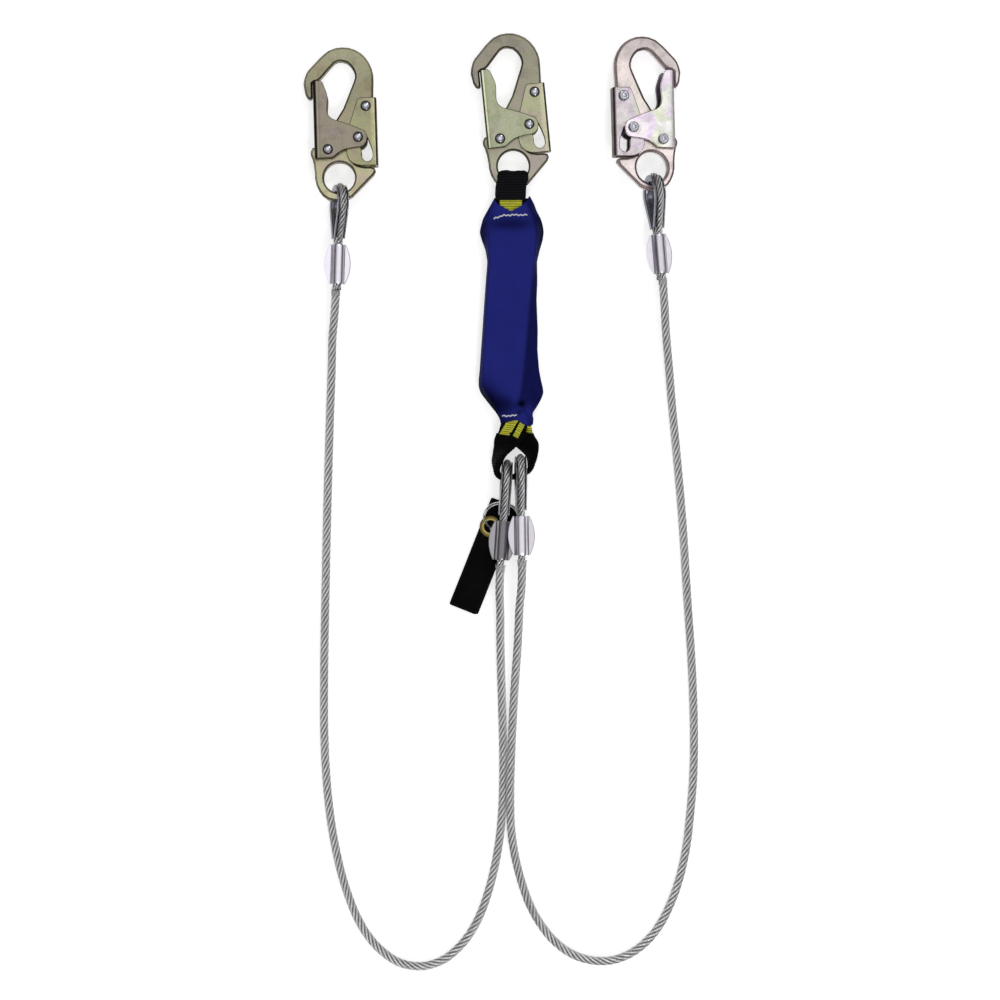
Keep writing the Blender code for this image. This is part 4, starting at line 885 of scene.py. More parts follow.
def rim_group(name, edge, to_hook, beyond):
    """Geometry nodes that lay a thin dark line, painted shade of the edge, along the sharp edges of a plate that lie
    more than beyond mm off the hook's middle plane."""
    group, start, end = node_group(name)
    sharp = edges_by_angle(group, "GREATER_THAN", SHARP)
    place = group.node("GeometryNodeInputPosition").outputs[0]
    rise = group.node("ShaderNodeVectorMath", place, to_hook[2].xyz / MM, operation="DOT_PRODUCT").outputs["Value"]
    outer = group.math("GREATER_THAN", group.math("ABSOLUTE", group.math("ADD", rise, to_hook[2].w)), beyond)
    chosen = group.node("FunctionNodeBooleanMath", sharp, outer).outputs[0]
    lines = group.node("GeometryNodeMeshToCurve", Mesh=start.outputs[0], Selection=chosen).outputs[0]
    ring = group.node("GeometryNodeCurvePrimitiveCircle", Resolution=5, Radius=RIM_R * MM).outputs["Curve"]
    tube = group.node("GeometryNodeCurveToMesh", Curve=lines, Profile_Curve=ring).outputs[0]
    both = group.node("GeometryNodeJoinGeometry",
                      group.node("GeometryNodeSetMaterial", Geometry=tube, Material=edge).outputs[0])
    group.feed(both.inputs[0], start.outputs[0])
    group.feed(end.inputs[0], both.outputs[0])
    return group.tree


def soften(node, look, edge=None, rim=None, radius=0.0):
    """A CAD node keeps its shape: its split corners are welded, its sharp edges lined by rim or rounded to a radius
    in mm, in the dark edge metal that paints shade along them, and its faces smoothed."""
    node.data.materials.clear()
    node.data.materials.append(look)
    if edge is not None:
        node.data.materials.append(edge)
    weld = node.modifiers.new("weld", "WELD")
    weld.merge_threshold = 0.02 * MM
    if rim is not None:
        node.modifiers.new("rim", "NODES").node_group = rim
    if radius:
        whole = node.modifiers.new("whole", "DECIMATE")
        whole.decimate_type = "DISSOLVE"
        whole.angle_limit = math.radians(1.0)
        bevel = node.modifiers.new("round", "BEVEL")
        bevel.width = radius * MM
        bevel.segments = 3
        bevel.limit_method = "ANGLE"
        bevel.angle_limit = math.radians(SHARP)
        bevel.use_clamp_overlap = False
        bevel.miter_outer = "MITER_SHARP"
        bevel.material = 1
    node.modifiers.new("smooth", "NODES").node_group = SMOOTH_GROUP
    weigh = node.modifiers.new("flat", "WEIGHTED_NORMAL")
    weigh.mode = "FACE_AREA"
    weigh.keep_sharp = True


SMOOTH_GROUP = smooth_group()


def rivet_profile(face):
    """One rivet: a domed head above, a flat head with a ring round its peened pin below."""
    low, high = face + GAP, face + GAP + HEAD_TALL
    below = [(0.02, 0.3), (1.5, 0.3), (1.8, 0.42), (2.0, 0.75), (2.3, 0.78), (2.5, 0.4), (2.8, 0.05), (3.3, 0.0),
             (3.9, 0.06), (4.3, 0.4), (HEAD_R, 0.9)]
    pin = [(HEAD_R, -low), (PIN_R, -low), (PIN_R, low), (HEAD_R, low)]
    dome = [(HEAD_R * math.cos(a), low + 0.5 + (HEAD_TALL - 0.5) * math.sin(a))
            for a in [math.radians(d) for d in range(0, 90, 9)]]
    return [(r, rise - high) for r, rise in below] + pin + dome + [(0.02, high)]


def make_hooks():
    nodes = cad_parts
    for side, matrix in HOOKS.items():
        pearl = side == "right"
        # The edge metal paints shade along the plates' sharp edges.
        edge = PEARL_EDGE_SHADE if pearl else ZINC_EDGE_SHADE
        for part, bands in (("hook_body", ()), ("gate", GATE_SHADE_BANDS[side]),
                            ("lock_lever", PEARL_LEVER_SHADE_BANDS if pearl else LEVER_SHADE_BANDS)):
            name = f"{side}_{part}"
            place = nodes[name].matrix_world.copy()
            place.translation = place.translation / MM
            to_hook = matrix.inverted() @ place
            plate = part == "hook_body"
            look = zinc_look(f"{name}_zinc", ZINC_TONES[side, part], to_hook, bands,
                             BODY_DOWN[side] if plate else (), PEARL_DEEP if pearl and not plate else ())
            if pearl and plate:
                soften(nodes[name], look, edge, radius=BODY_ROUND)
            else:
                soften(nodes[name], look, edge, rim_group(f"{name}_rim", edge, to_hook, RIM_BEYOND[part]))
        for part in ("gate_spring", "lever_spring"):
            soften(nodes[f"{side}_{part}"], SPRING_STEEL)
        for part, (x, y), face, body in (("gate_rivet", GATE_AXIS, GATE_OUT, f"{side}_hook"),
                                         ("lever_rivet", LEVER_AXIS, LEVER_OUT, f"{side}_hook"),
                                         ("latch_pin", LATCH_PIN, GATE_OUT, f"{side}_gate")):
            where = matrix @ Matrix.Translation((x, y, 0.0))
            piece = turned(f"{side}_{part}_domed", rivet_profile(face), RIVET_BACK if pearl else RIVET_ZINC, where)
            # place is the radius across a head, for its painted highlight and shade.
            stamp(piece, where, lambda p: math.hypot(p.x, p.y) / HEAD_R)
            belongs(piece, body, "rivet_steel", f"{side}_{part}")


make_hooks()


# ---- webbing and sleeves

# Stations of the lower loop: x, y, z, lean in degrees and half width. Lean 0 is a strap flat on the ground, 90 one
# standing on edge.
LOWER_LOOP = [
    (-1.4, 56, PACK_Z + TAIL, 0, 12), (-1, 40, PACK_Z + TAIL, 0, 12), (0.6, 24, 14.4, 0, 12.3),
    (2.5, 4, 13.3, 0, 12.5), (0, -11.5, 14.8, 8, 13.8), (-2.5, -17, 15.8, 24, 13.8), (-6.3, -23.5, 17.2, 48, 13.6),
    (-10.6, -30, 18.6, 64, 12.8), (-13.7, -36.4, 19.5, 76, 11.4), (-14.3, -43, 19.8, 88, 9.4),
    (-13.6, -47, 20, 90, 8.4), (-11.5, -49.6, 20, 90, 8), (-7.9, -51, 20, 90, 8), (-3.9, -51, 20.3, 94, 8),
    (0.7, -50, 21.8, 104, 8), (4.9, -48.6, 23.4, 104, 8), (9.2, -47.4, 24.4, 94, 8), (12.9, -46, 24.4, 88, 8.6),
    (15.6, -43, 23.8, 86, 9.8), (16.8, -37.8, 22.4, 80, 11), (17, -31, 19.6, 70, 12.4), (13.8, -24, 15.4, 48, 13.4),
    (9, -17.5, 11.4, 22, 13.8), (5.2, -11.5, 9, 6, 13.8), (3.8, 2, 9.6, 1, 13), (2, 24, 7.6, 0, 12.3),
    (-0.6, 40, PACK_Z - TAIL, 0, 12), (-1, 56, PACK_Z - TAIL, 0, 12),
]
LOWER_ROWS = [((x, y, z), (math.cos(math.radians(lean)), 0.0, math.sin(math.radians(lean))), half)
              for x, y, z, lean, half in LOWER_LOOP]
UPPER_AT = Vector((17.6, 101.3, 0.0)) - DATUM
LOWER_AT = Vector((17.6, -82.4, 0.0)) - DATUM


def upper_rows():
    """The upper webbing's stations, as in the part's source: two tails and the bend through the hook's eye."""
    mean = LOOP_IN + SLEEVE_THICK / 2
    front = [(-54.0, TAIL, -0.4, 12.6), (-39.0, TAIL, -0.4, 12.6), (-24.0, 3.8, -0.5, 12.7), (-8.0, 2.2, -0.8, 12.8),
             (8.6, 4.2, -1.1, 13.0), (14.0, 5.9, -1.3, 13.6), (21.0, mean, -0.8, 13.4)]
    halves = (13.6, 13.5, 12.9, 12.0, 11.2, 11.0, 11.0, 11.0, 11.0)
    bend = [(y, z, 0.7, half) for (y, z), half in zip(arc(26.3, 0.0, mean, 90.0, -90.0, 8), halves)]
    back = [(y, -z, x, half) for y, z, x, half in front[::-1]]
    return [((x, y, PACK_Z + z), (1.0, 0.0, 0.0), half) for y, z, x, half in front + bend + back]


def fine_stations(rows, origin, spacing):
    """Rows of centre, width direction and half width, drawn at an even spacing along the strap."""
    middles = [Vector(r[0]) + origin for r in rows]
    centres = smooth_path(middles, spacing)
    gone, reached = lengths_along(middles), lengths_along(centres)
    scale = gone[-1] / reached[-1]
    widths = np.array([(*r[1], r[2]) for r in rows])
    made = []
    for centre, s in zip(centres, reached):
        w = [float(np.interp(s * scale, gone, widths[:, i])) for i in range(4)]
        made.append((centre, Vector(w[:3]).normalized(), w[3], s))
    return made


def strap_rings(stations, less, thick, count, rib=0.0, pitch=1.9, wander=0.0):
    """Rings of a strap with rounded selvages; rib is how far its picks stand proud."""
    rings = []
    for i, (centre, across, half, s) in enumerate(stations):
        ahead, behind = stations[min(i + 1, len(stations) - 1)][0], stations[max(i - 1, 0)][0]
        face = (ahead - behind).normalized().cross(across).normalized()
        h = half - less + wander * noise.noise((s * 0.11, less, thick))
        t = thick / 2 - rib * (0.5 - 0.5 * math.cos(2 * math.pi * s / pitch))
        top = []
        for k in range(count):
            a = -1.0 + 2.0 * k / (count - 1)
            curl = max(0.0, abs(a) - 0.9) / 0.1
            top.append((a * h, t * math.sqrt(max(0.0, 1.0 - 0.8 * curl ** 2)) - 0.1 * rib * math.cos(9 * a)))
        rings.append([centre + across * a + face * b for a, b in top + [(a, -b) for a, b in top[::-1]]])
    return rings


def strap_piece(name, rings, look, inner=None):
    """A strap, or with inner rings a sleeve. UV u is the place across from the middle, v along, in metres."""
    count = len(rings[0])
    rings = rings + (inner[::-1] if inner else [])
    points, faces, _ = skin(rings, "round" if inner else "caps")
    centres = [sum(ring, Vector()) / count for ring in rings]
    uv = []
    for ring, centre, along in zip(rings, centres, lengths_along(centres)):
        across = (ring[count // 2 - 1] - ring[0]).normalized()
        uv += [((p - centre).dot(across) * MM, along * MM) for p in ring]
    return facing_out(new_mesh(name, points, faces, look, uv))


def make_webbing():
    for name, rows, origin, thick, shaped, look in (
            ("upper", upper_rows(), UPPER_AT, SLEEVE_THICK, dipped, BLACK_WEB),
            ("lower", LOWER_ROWS, LOWER_AT, SLEEVE_THICK + GAP, plumped, SHADED_BLACK_WEB)):
        stations = fine_stations(rows, origin, 0.45)
        rings = strap_rings(stations[::2], SLEEVE_SIDE + GAP, WEB_THICK, 11, 0.18, 1.8)
        web = strap_piece(f"{name}_yellow_strap", rings, YELLOW_WEB)
        if name == "lower":
            shade_below_cover(web)
        belongs(web, "absorber", "yellow_webbing", f"{name}_webbing")
        # The sleeve starts and ends at the fifth row from either end of the webbing.
        start, end = (nearest(stations, Vector(rows[i][0]) + origin) for i in (4, -5))
        worn = stations[start:end + 1]
        outer = [shaped(ring) for ring in strap_rings(worn, 0.0, thick, 13, 0.3, 2.2, 0.35)]
        inner = strap_rings(worn[::8] + [worn[-1]], SLEEVE_SIDE - 0.2, WEB_THICK + 0.7, 13)
        belongs(strap_piece(f"{name}_ribbed_sleeve", outer, look, inner), "absorber", "sleeve_webbing",
                f"{name}_sleeve")


def shade_below_cover(web):
    """Past the cover's end the lower webbing takes the darker black webbing as painted shade, at a higher line on its
    front than on its back.
    """
    web.data.materials.append(SHADED_BLACK_WEB)
    front, back = from_pixel(0.0, 416.0)[1], from_pixel(0.0, 432.6)[1]
    for face in web.data.polygons:
        spot = face.center / MM + DATUM
        if spot.y < (front if spot.z > 12.0 else back):
            face.material_index = 1


def make_tear_webbing():
    """The webbing folded up in the pack: flat runs one over another, joined by a bend at alternate ends."""
    fold = []
    r = TEAR_PITCH / 2
    for k in range(TEAR_LAYERS):
        z = PACK_Z + TEAR_PITCH * (k - (TEAR_LAYERS - 1) / 2)
        way = -1.0 if k % 2 == 0 else 1.0
        first, last = (-42.0, -138.0) if k % 2 == 0 else (-138.0, -42.0)
        fold += [(first, z), (last, z)]
        if k < TEAR_LAYERS - 1:
            fold += [(last + way * r * math.sin(s) * 1.6, z + r - r * math.cos(s))
                     for s in [math.radians(a) for a in (45.0, 90.0, 135.0)]]
    centres = [Vector((-0.8, y, z)) + UPPER_AT for y, z in fold]
    stations = [(centre, Vector((1.0, 0.0, 0.0)), 17.6, s) for centre, s in zip(centres, lengths_along(centres))]
    tear = strap_piece("folded_tear_webbing", strap_rings(stations, 0.0, WEB_THICK, 11), YELLOW_WEB)
    belongs(tear, "absorber", "yellow_webbing", "tear_webbing")


# Folds of the lower webbing that show under the cover: for each, its start and end in pixels with heights, its
# half width in millimetres and the slope of its ribs in degrees.
LOWER_FOLDS = [
    ((514.6, 417.6, 14.6), (504.4, 434.8, 16.4), 5.1, -8.0), ((524.2, 420.0, 14.6), (515.2, 437.4, 21.4), 2.5, -28.0),
    ((528.6, 424.0, 14.0), (530.4, 433.0, 14.6), 2.1, -12.0),
]


def make_lower_folds():
    steps = 60
    for i, (start, end, half, slope) in enumerate(LOWER_FOLDS):
        a, b = (Vector((*from_pixel(px, py), z)) - DATUM for px, py, z in (start, end))
        across = Vector((math.cos(math.radians(slope)), math.sin(math.radians(slope)), 0.0))
        stations = [(a.lerp(b, k / steps) + Vector((0.0, 0.0, 0.25 * math.sin(k * 0.33))), across, half,
                     (b - a).length * k / steps) for k in range(steps + 1)]
        fold = strap_piece(f"lower_webbing_fold_{i + 1}", strap_rings(stations, 0.0, 1.3, 11, 0.2, 2.1), YELLOW_FOLD)
        belongs(fold, "absorber", "yellow_webbing", "lower_webbing")


def nearest(stations, point):
    return min(range(len(stations)), key=lambda i: (stations[i][0] - point).length)


def plumped(ring):
    """The left leg of the lower sleeve is fuller on its inner side, beside the rope eye."""
    middle = sum(ring, Vector()) / len(ring) - LOWER_AT
    if middle.x > -9.0 or middle.y > -30.0:
        return ring
    full = 1.7 * min(1.0, (-30.0 - middle.y) / 6.0) * min(1.0, (-9.0 - middle.x) / 3.0)
    return [Vector((p.x + (full if p.x - LOWER_AT.x > middle.x else 0.0), p.y, p.z)) for p in ring]


def dipped(ring):
    """The bunched fold at the top of the upper sleeve sags near its middle."""
    out = []
    for p in ring:
        x, y = p.x - UPPER_AT.x, p.y - UPPER_AT.y
        sag = max(0.0, (y - 27.0) / 8.0)
        sag *= 0.8 * math.exp(-((x - 2.0) / 4.5) ** 2) + 0.25 * math.cos(x * 0.7)
        out.append(Vector((p.x, p.y - sag, p.z)))
    return out


make_webbing()
make_tear_webbing()
make_lower_folds()


# ---- the absorber's cover

# Rows down the cover in the photograph's pixels: y, the outline's left and right, the front face's left and
# right edges, then in millimetres the front's height, the side wall's half height and its middle height.
COVER_ROWS = [
    (197.5, 494.6, 530, 497.5, 524, 17.4, 2.6, 11), (204, 491, 534, 496.5, 526, 17.6, 2.4, 11),
    (212, 486.6, 537, 495, 529.5, 17.8, 1.8, 11), (219, 482.8, 541, 492.6, 532, 18.2, 1.4, 11),
    (226, 480.9, 543, 490.2, 535, 20, 1, 11), (232.5, 479.6, 543.8, 489.6, 536.6, 21.7, 1, 11),
    (240, 481.6, 542.8, 489, 536.2, 21.7, 1.6, 11), (250, 485.4, 539.8, 488.6, 535.4, 21.7, 3, 11.2),
    (262, 487.3, 537, 489, 534.2, 21.7, 4.4, 11.6), (282, 485.7, 537.4, 487.6, 531.6, 21.7, 4.6, 11.4),
    (300, 484.4, 536.6, 486.6, 529.6, 21.7, 4.6, 11.2), (330, 482.4, 537.8, 485, 527, 21.7, 4.6, 11),
    (350, 481, 537.5, 484, 525, 21.7, 4.4, 11), (370, 479.6, 539.2, 483.2, 523, 21.7, 3.8, 11),
    (380, 478.6, 541, 482.6, 521.8, 21.6, 3.2, 11), (387, 478.6, 542.8, 483.4, 521, 20.9, 2.4, 11),
    (393, 480.6, 543.6, 486.4, 519.8, 19.9, 1.8, 11), (400, 485.8, 540.8, 491, 518.4, 18.4, 1.6, 11.2),
    (407, 491.4, 536.8, 496, 520.5, 17.4, 1.6, 11.4), (413.5, 496.6, 532.4, 500.6, 524, 16.9, 1.8, 11.6),
    (419, 499.8, 533.6, 503, 527, 16.8, 2, 11.8), (424, 500.6, 533, 503, 528, 16.7, 2.2, 12),
]

# Folds pressed into the cloth: middle in pixels, rise in mm, half length and half width in mm, angle in degrees.
COVER_FOLDS = [
    (522.8, 404.6, -2, 3.8, 1.6, -8), (517.6, 402.5, 1.5, 7.5, 1.5, 72), (528, 410.5, 1.3, 7, 2, -55),
    (535, 404.5, 1.2, 6.5, 2, 56), (508, 408, -1, 8, 2.6, 12), (521, 411, -0.9, 4, 1.5, -35),
    (525.5, 398, 0.8, 6, 1.6, 20), (503.5, 412, 0.8, 6, 1.6, 25), (530, 419, 0.8, 5, 2, 80),
    (486, 221, 0.8, 6, 1.4, 60), (489.6, 229, 0.6, 6, 1.2, 100), (533, 211, 1, 6.5, 1.6, -62),
    (537, 226, 0.7, 6.5, 1.6, -78), (529, 216, -0.9, 5, 1.8, -20), (495, 213, -0.7, 5.5, 1.8, 30),
    (539.2, 240, -0.8, 7, 2, 78), (483.6, 238, -0.8, 6, 2, -72), (506, 226, -0.35, 12, 3, 2),
    (534, 335, 0.5, 9, 2.4, 86), (531, 372, -0.5, 12, 3, 80), (491, 396, 0.5, 10, 2.4, -42),
]


# Painted shade and painted light on the cloth, over its facets and folds: middle in pixels, half length and half
# width in pixels, angle in degrees and level.
COVER_LIGHT_AND_SHADE = [
    (483.5, 233, 17, 4, 90, 0.42), (541.5, 232, 18, 4.6, 92, 0.50), (510, 224.5, 26, 6.5, 0, 0.36),
    (489.5, 401, 24, 11.5, 55, 0.10), (501, 406, 12, 8, 20, 0.55), (521, 404, 5, 3.4, -20, 0.02),
    (506, 403, 10, 6, 20, 0.55), (530.5, 413, 11, 4.4, 62, 2.4), (514.8, 396, 12, 2.6, 84, 1.2),
    (487, 212, 6, 3, 60, 0.5), (506, 421, 9, 2.6, -8, 0.5), (519, 412.5, 4, 2.2, -30, 0.35),
    (536, 398, 8, 3, 60, 0.8),
]


COVER_FRONT = 11.0  # cloth above this height is the cover's front
COVER_LOW = 0.35


def relax(a, times):
    """A grid of points drawn towards their neighbours round the cover and along it."""
    for _ in range(times):
        around = (np.roll(a, 1, 1) + np.roll(a, -1, 1)) / 2
        along = a.copy()
        along[1:-1] = (a[:-2] + a[2:]) / 2
        a = a * 0.5 + around * 0.25 + along * 0.25
    return a


def reach(dx, dy, long_half, wide_half, angle):
    """1 at the middle of a long spot, fading to 0 round it."""
    c, s = math.cos(math.radians(angle)), math.sin(math.radians(angle))
    return np.exp(-((dx * c + dy * s) / long_half) ** 2 - ((dy * c - dx * s) / wide_half) ** 2)


def cover_outline(rows):
    """Rings down the cover as a grid of (pixel x, pixel y, height), pulled into its vee at both ends."""
    fine_y = np.arange(rows[0, 0], rows[-1, 0] + 0.1, 1.1)
    values = np.stack([np.interp(fine_y, rows[:, 0], rows[:, i]) for i in range(rows.shape[1])], 1)
    low, inset = 0.5, 5.0
    grid = []
    for y, left, right, face_left, face_right, high, wall, middle in values:
        corners = [(left, middle + wall), (face_left, high), (face_right, high), (right, middle + wall),
                   (right, middle - wall), (right - inset, low), (left + inset, low), (left, middle - wall)]
        ring = []
        for a, b, share in zip(corners, corners[1:] + corners[:1], (10, 34, 16, 6, 8, 34, 8, 6)):
            ring += [(a[0] + (b[0] - a[0]) * j / share, y, a[1] + (b[1] - a[1]) * j / share) for j in range(share)]
        grid.append(ring)
    grid = np.array(grid)
    x, y = grid[:, :, 0], grid[:, :, 1]
    front = np.clip((grid[:, :, 2] - COVER_FRONT) / 5.0, 0.0, 1.0)
    vee = np.interp(x, [494.0, 497.5, 511.0, 523.5, 527.3, 530.0, 534.0],
                    [2.5, 7.0, 14.6, 7.6, 2.5, -3.0, -1.0]) * front
    rise = np.interp(x, [500.0, 506.0, 512.0, 516.6, 519.0, 525.0, 531.6, 534.0],
                     [0.6, -0.5, -2.2, -3.0, -1.9, 2.7, 3.8, 0.5]) * front
    near = np.clip(1.0 - (y - rows[0, 0]) / 24.0, 0.0, 1.0)
    close = np.clip(1.0 - (rows[-1, 0] - y) / 16.0, 0.0, 1.0)
    grid[:, :, 1] += vee * near + rise * close
    return grid


def cover_light_and_shade(rows, px, py):
    """How light the cloth is painted at each of its points, 1 in the open: painted shade on its sides, its right facet
    and its folds.
    """
    ridge = np.interp(py, rows[:, 0], rows[:, 4])
    level = 1.0 - 0.60 * np.clip((px - ridge + 1.5) / 3.5, 0.0, 1.0)
    level *= np.interp(px - np.interp(py, rows[:, 0], rows[:, 1]), [0.0, 2.5, 4.5], [0.45, 0.85, 1.0])
    for x, y, long_half, wide_half, angle, factor in COVER_LIGHT_AND_SHADE:
        level *= 1.0 - (1.0 - factor) * reach(px - x, py - y, long_half, wide_half, angle)
    return np.minimum(level, 1.0)


def make_cover():
    rows = np.array(COVER_ROWS)
    grid = cover_outline(rows)
    cloth = relax(np.stack([*from_pixel(grid[:, :, 0], grid[:, :, 1]), grid[:, :, 2]], 2), 5)
    for px, py, lift, long_half, wide_half, angle in COVER_FOLDS:
        x, y = from_pixel(px, py)
        pressed = lift * reach(cloth[:, :, 0] - x, cloth[:, :, 1] - y, long_half, wide_half, angle)
        cloth[:, :, 2] += pressed * np.clip((cloth[:, :, 2] - COVER_FRONT) / 4.0, 0.0, 1.0)
    for i, ring in enumerate(cloth):
        ends = max(0.0, 1.0 - min(i, len(cloth) - 1 - i) / 30.0)
        for p in ring:
            ripple = noise.noise((p[0] * 0.055, p[1] * 0.03, p[2] * 0.05)) * 0.35
            ripple += ends * noise.noise((p[0] * 0.22, p[1] * 0.07, p[2] * 0.2 + 9.0)) * 0.55
            p[2] = max(COVER_LOW, p[2] + ripple * (1.0 if p[2] > COVER_FRONT else -0.6))
    cloth = relax(cloth, 1)
    cloth[:, :, 2] = np.maximum(cloth[:, :, 2], COVER_LOW)
    piece = lofted("absorber_cover", [[Vector(p) - DATUM for p in ring] for ring in cloth], COVER_CLOTH, "open")
    # The cloth's painted shade goes into its attribute place.
    store(piece, "place", cover_light_and_shade(rows, *to_pixel(cloth[:, :, 0], cloth[:, :, 1])).ravel())
    wall = piece.modifiers.new("cloth", "SOLIDIFY")
    wall.thickness = 0.7 * MM
    wall.offset = -1.0
    wall.use_even_offset = True
    belongs(piece, "absorber", "cover_cloth", "pack_cover")
    return cloth.reshape(-1, 3)


COVER_POINTS = make_cover()


def cover_height(x, y):
    """The height of the cover's front at a place, before DATUM."""
    front = COVER_POINTS[COVER_POINTS[:, 2] > 12.0]
    near = np.argsort((front[:, 0] - x) ** 2 + (front[:, 1] - y) ** 2)[:4]
    return float(front[near, 2].mean())


def make_stitches(name, line):
    """Two close rows of slanted stitches along a line of pixels on the cover."""
    thread_r, swing = 0.5, 0.45
    track = smooth_path([(*from_pixel(px, py), 0.0) for px, py in line], 1.9)
    parts = []
    for row in (0.0, 0.3):
        for i, (a, b) in enumerate(zip(track, track[1:])):
            way = (b - a).normalized()
            side = Vector((-way.y, way.x, 0.0))
            slant = swing if i % 2 else -swing
            off = side * (row + slant)
            start, end = a + off, b + off - side * (2 * slant)
            points = []
            for s in (0.0, 0.12, 0.3, 0.5, 0.7, 0.88, 1.0):
                p = start.lerp(end, (s - 0.5) * 0.95 + 0.5)
                lift = thread_r * (1.0 if 0.1 < s < 0.9 else -1.2)
                points.append(Vector((p.x, p.y, cover_height(p.x, p.y) + lift)) - DATUM)
            parts.append(tube_skin(points, thread_r, 7))
    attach(joined(name, parts, WHITE_THREAD), "absorber")


make_stitches("upper_cover_stitches", [
    (493.8, 219.2), (499.0, 218.0), (503.8, 216.1), (509.0, 216.3), (514.0, 215.5), (520.0, 216.1), (527.0, 215.4)])
make_stitches("lower_cover_stitches", [(502.3, 415.8), (507.0, 416.5), (512.0, 415.8), (516.6, 415.6)])


# ---- tag, eyelet and ring

RING_FRAME = Matrix.Translation(EYES["left", "pack"].translation + Vector((-1.9, 3.5, -9.5))) @ turn("X", 35.0)
TAG_FRAME = (Matrix.Translation(EYES["left", "pack"].translation + Vector((-11.3, -4.9, -15.3)))
             @ turn("Z", -21.6) @ turn("X", -0.5) @ turn("Y", -9.0))
TAG_WIDE, TAG_LONG, TAG_THICK = 27.0, 101.0, 1.2
TAG_RIGHT, TAG_TOP = 18.3, 24.4


def make_tag():
    """A doubled strip of black cloth with a hole for the eyelet and a sewn border."""
    left, bottom = TAG_RIGHT - TAG_WIDE, TAG_TOP - TAG_LONG
    hole_r = 6.2
    corners = [(left, bottom + 1.0), (left + 1.0, bottom), (TAG_RIGHT - 3.0, bottom), (TAG_RIGHT, bottom + 1.5),
               (TAG_RIGHT, TAG_TOP - 1.0), (TAG_RIGHT - 1.0, TAG_TOP), (left + 1.5, TAG_TOP), (left, TAG_TOP - 1.0)]

    def rim(angle):
        """How far a ray from the eyelet's centre goes before it leaves the tag."""
        c, s = math.cos(angle), math.sin(angle)
        found = []
        for (ax, ay), (bx, by) in zip(corners, corners[1:] + corners[:1]):
            cross = c * (by - ay) - s * (bx - ax)
            if abs(cross) >= 1e-9:
                far, along = (ax * (by - ay) - ay * (bx - ax)) / cross, (ax * s - ay * c) / cross
                if far > 0 and -1e-6 <= along <= 1 + 1e-6:
                    found.append(far)
        return min(found)

    angles = sorted({round(a, 6) for a in turns(72)}
                    | {round(math.atan2(y, x) % (2 * math.pi), 6) for x, y in corners})
    bands = 60
    rings = []
    for b in range(bands + 1):
        radii = [hole_r + (rim(a) - hole_r) * (b / bands) ** 1.25 for a in angles]
        rings.append([(r * math.cos(a), r * math.sin(a)) for r, a in zip(radii, angles)])

    def lift(x, y):
        """Low waves along the strip, and the dents of its old fold marks."""
        bend = 0.35 * math.sin((y + 10.0) * 0.055) + 0.25 * noise.noise((x * 0.06, y * 0.04, 2.0))
        bend -= 0.35 * math.exp(-((y + 27.0 - 0.15 * x) / 2.5) ** 2)
        bend += 0.25 * math.exp(-((y + 55.0 + 0.1 * x) / 3.0) ** 2)
        return bend * min(1.0, max(0.0, (-y - 9.0) / 20.0))

    def face(sign):
        """One face of the strip, thinned at its border."""
        thin = {bands: 0.35, bands - 1: 0.12}
        return [[(x, y, lift(x, y) + sign * TAG_THICK / 2 - sign * thin.get(b, 0.0)) for x, y in ring]
                for b, ring in enumerate(rings)]

    points, faces, _ = skin(face(1) + face(-1)[::-1], "round")
    uv = [(p.x * MM, p.y * MM) for p in points]
    tag = facing_out(new_mesh("tag_strip", points, faces, TAG_CLOTH, uv, TAG_FRAME))

    inset = 1.9
    path = [(left + inset, TAG_TOP - inset), (TAG_RIGHT - inset, TAG_TOP - inset),
            (TAG_RIGHT - inset, bottom + inset + 0.6), (left + inset, bottom + inset), (left + inset, TAG_TOP - inset)]
    parts = []
    for (ax, ay), (bx, by) in zip(path, path[1:]):
        steps = max(1, round(math.hypot(bx - ax, by - ay) / 3.0))
        for k in range(steps):
            points = []
            for s in (0.08, 0.2, 0.5, 0.8, 0.92):
                t = (k + s) / steps
                x, y = ax + (bx - ax) * t, ay + (by - ay) * t
                points.append(Vector((x, y, lift(x, y) + TAG_THICK / 2 + (0.12 if 0.1 < s < 0.9 else -0.25))))
            parts.append(tube_skin(points, 0.22, 6))
    seam = joined("tag_stitches", parts, BLACK_THREAD, TAG_FRAME)
    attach(seam, "tag")
    ply = make_hole_backing()
    belongs(tag, "tag", "tag_cloth", "tag")


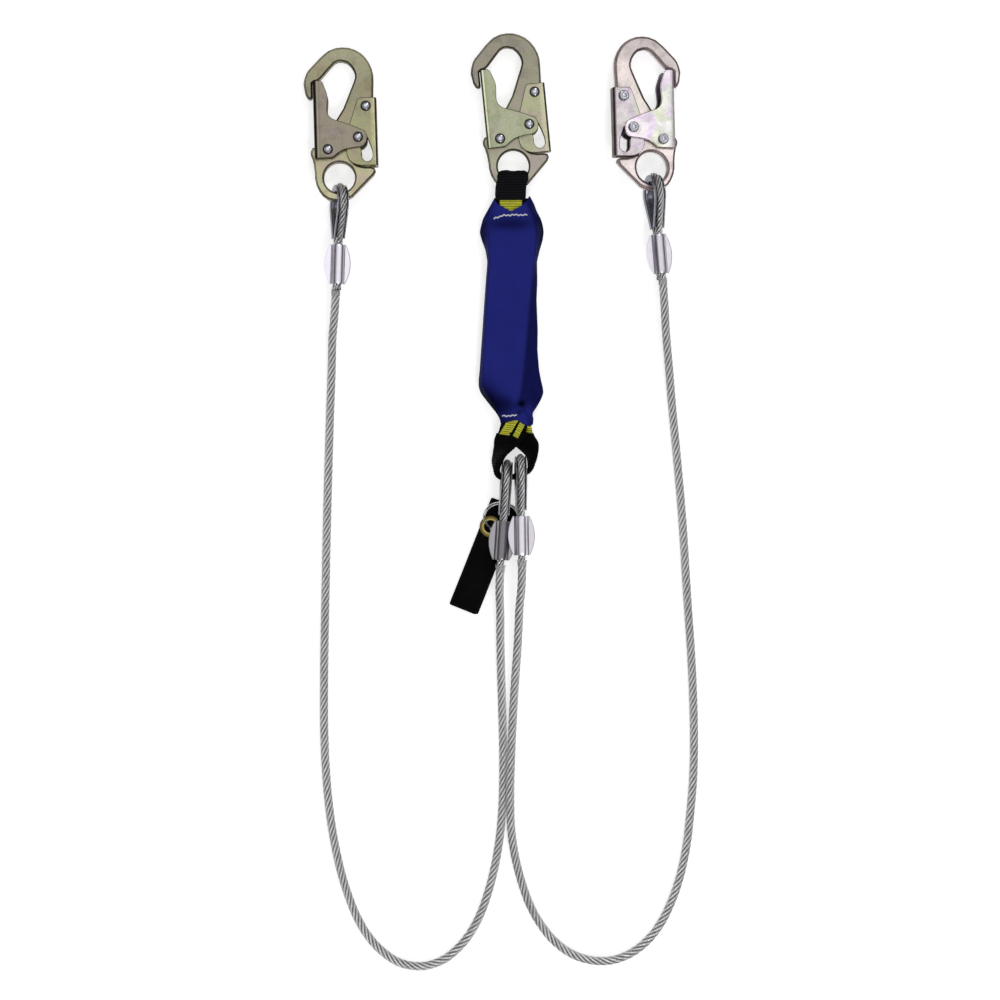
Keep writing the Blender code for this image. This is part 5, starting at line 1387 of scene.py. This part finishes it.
def make_hole_backing():
    """A disc of the tag's black cloth under the eyelet, which fills its hole with black, slit where the ring goes
    through it.
    """
    level = -TAG_THICK / 2 - GAP - 0.95
    into_tag = TAG_FRAME.inverted() @ RING_FRAME
    wire = [into_tag @ Vector((RING_R * math.cos(a), RING_R * math.sin(a), 0.0)) for a in turns(120)]
    spokes, bands, step = 40, 11, 0.75
    points = [(step * b * math.cos(a), step * b * math.sin(a), level) for b in range(bands + 1) for a in turns(spokes)]
    faces = []
    for b in range(bands):
        for k in range(spokes):
            ahead = (k + 1) % spokes
            face = (b * spokes + k, (b + 1) * spokes + k, (b + 1) * spokes + ahead, b * spokes + ahead)
            face = face[1:] if b == 0 else face
            middle = sum((Vector(points[i]) for i in face), Vector()) / len(face)
            if min((middle - p).length for p in wire) > 1.25:
                faces.append(face)
    used = sorted({i for face in faces for i in face})
    place = {i: n for n, i in enumerate(used)}
    points = [points[i] for i in used]
    ply = new_mesh("tag_hole_backing", points, [tuple(place[i] for i in face) for face in faces], TAG_CLOTH,
                   [(x * MM, y * MM) for x, y, _ in points], TAG_FRAME)
    ply.modifiers.new("cloth", "SOLIDIFY").thickness = 0.4 * MM
    belongs(ply, "tag", "tag_cloth", "tag")
    return ply


def make_eyelet():
    under, flange = TAG_THICK / 2 + GAP, 0.45
    half = [(5.9, 0.0), (9.5, 0.0), (9.5, 0.08), (9.3, 0.25), (8.2, flange - 0.05), (6.2, flange), (5.5, 0.4),
            (5.3, 0.2)]
    profile = [(r, -under - z) for r, z in half[::-1]] + [(r, under + z) for r, z in half]
    piece = turned("brass_eyelet", profile, BRASS, TAG_FRAME, 64, closed=True)
    stamp(piece, TAG_FRAME, lambda p: math.hypot(p.x, p.y) / 9.5)
    belongs(piece, "tag", "brass", "tag_eyelet")


def make_ring():
    """Two turns of flattened wire, with the start and the end on the same side."""
    steps = 200
    wire = ((-0.36, -0.3), (-0.2, -0.45), (0.2, -0.45), (0.36, -0.3), (0.36, 0.3), (0.2, 0.45), (-0.2, 0.45),
            (-0.36, 0.3))
    rings = []
    for k in range(steps + 1):
        a = 2 * math.pi * 2.0 * k / steps - 0.35
        z = 0.9 * k / steps - 0.45
        middle = RING_R + 0.9 - 1.8 * min(1.0, max(0.0, 2.5 * (k / steps - 0.4) + 0.5))
        rings.append([((middle + r) * math.cos(a), (middle + r) * math.sin(a), z + h) for r, h in wire])
    piece = lofted("split_ring_wire", rings, RING_STEEL, matrix=RING_FRAME)
    belongs(piece, "ring", "ring_steel", "split_ring")


make_ring()
make_tag()
make_eyelet()
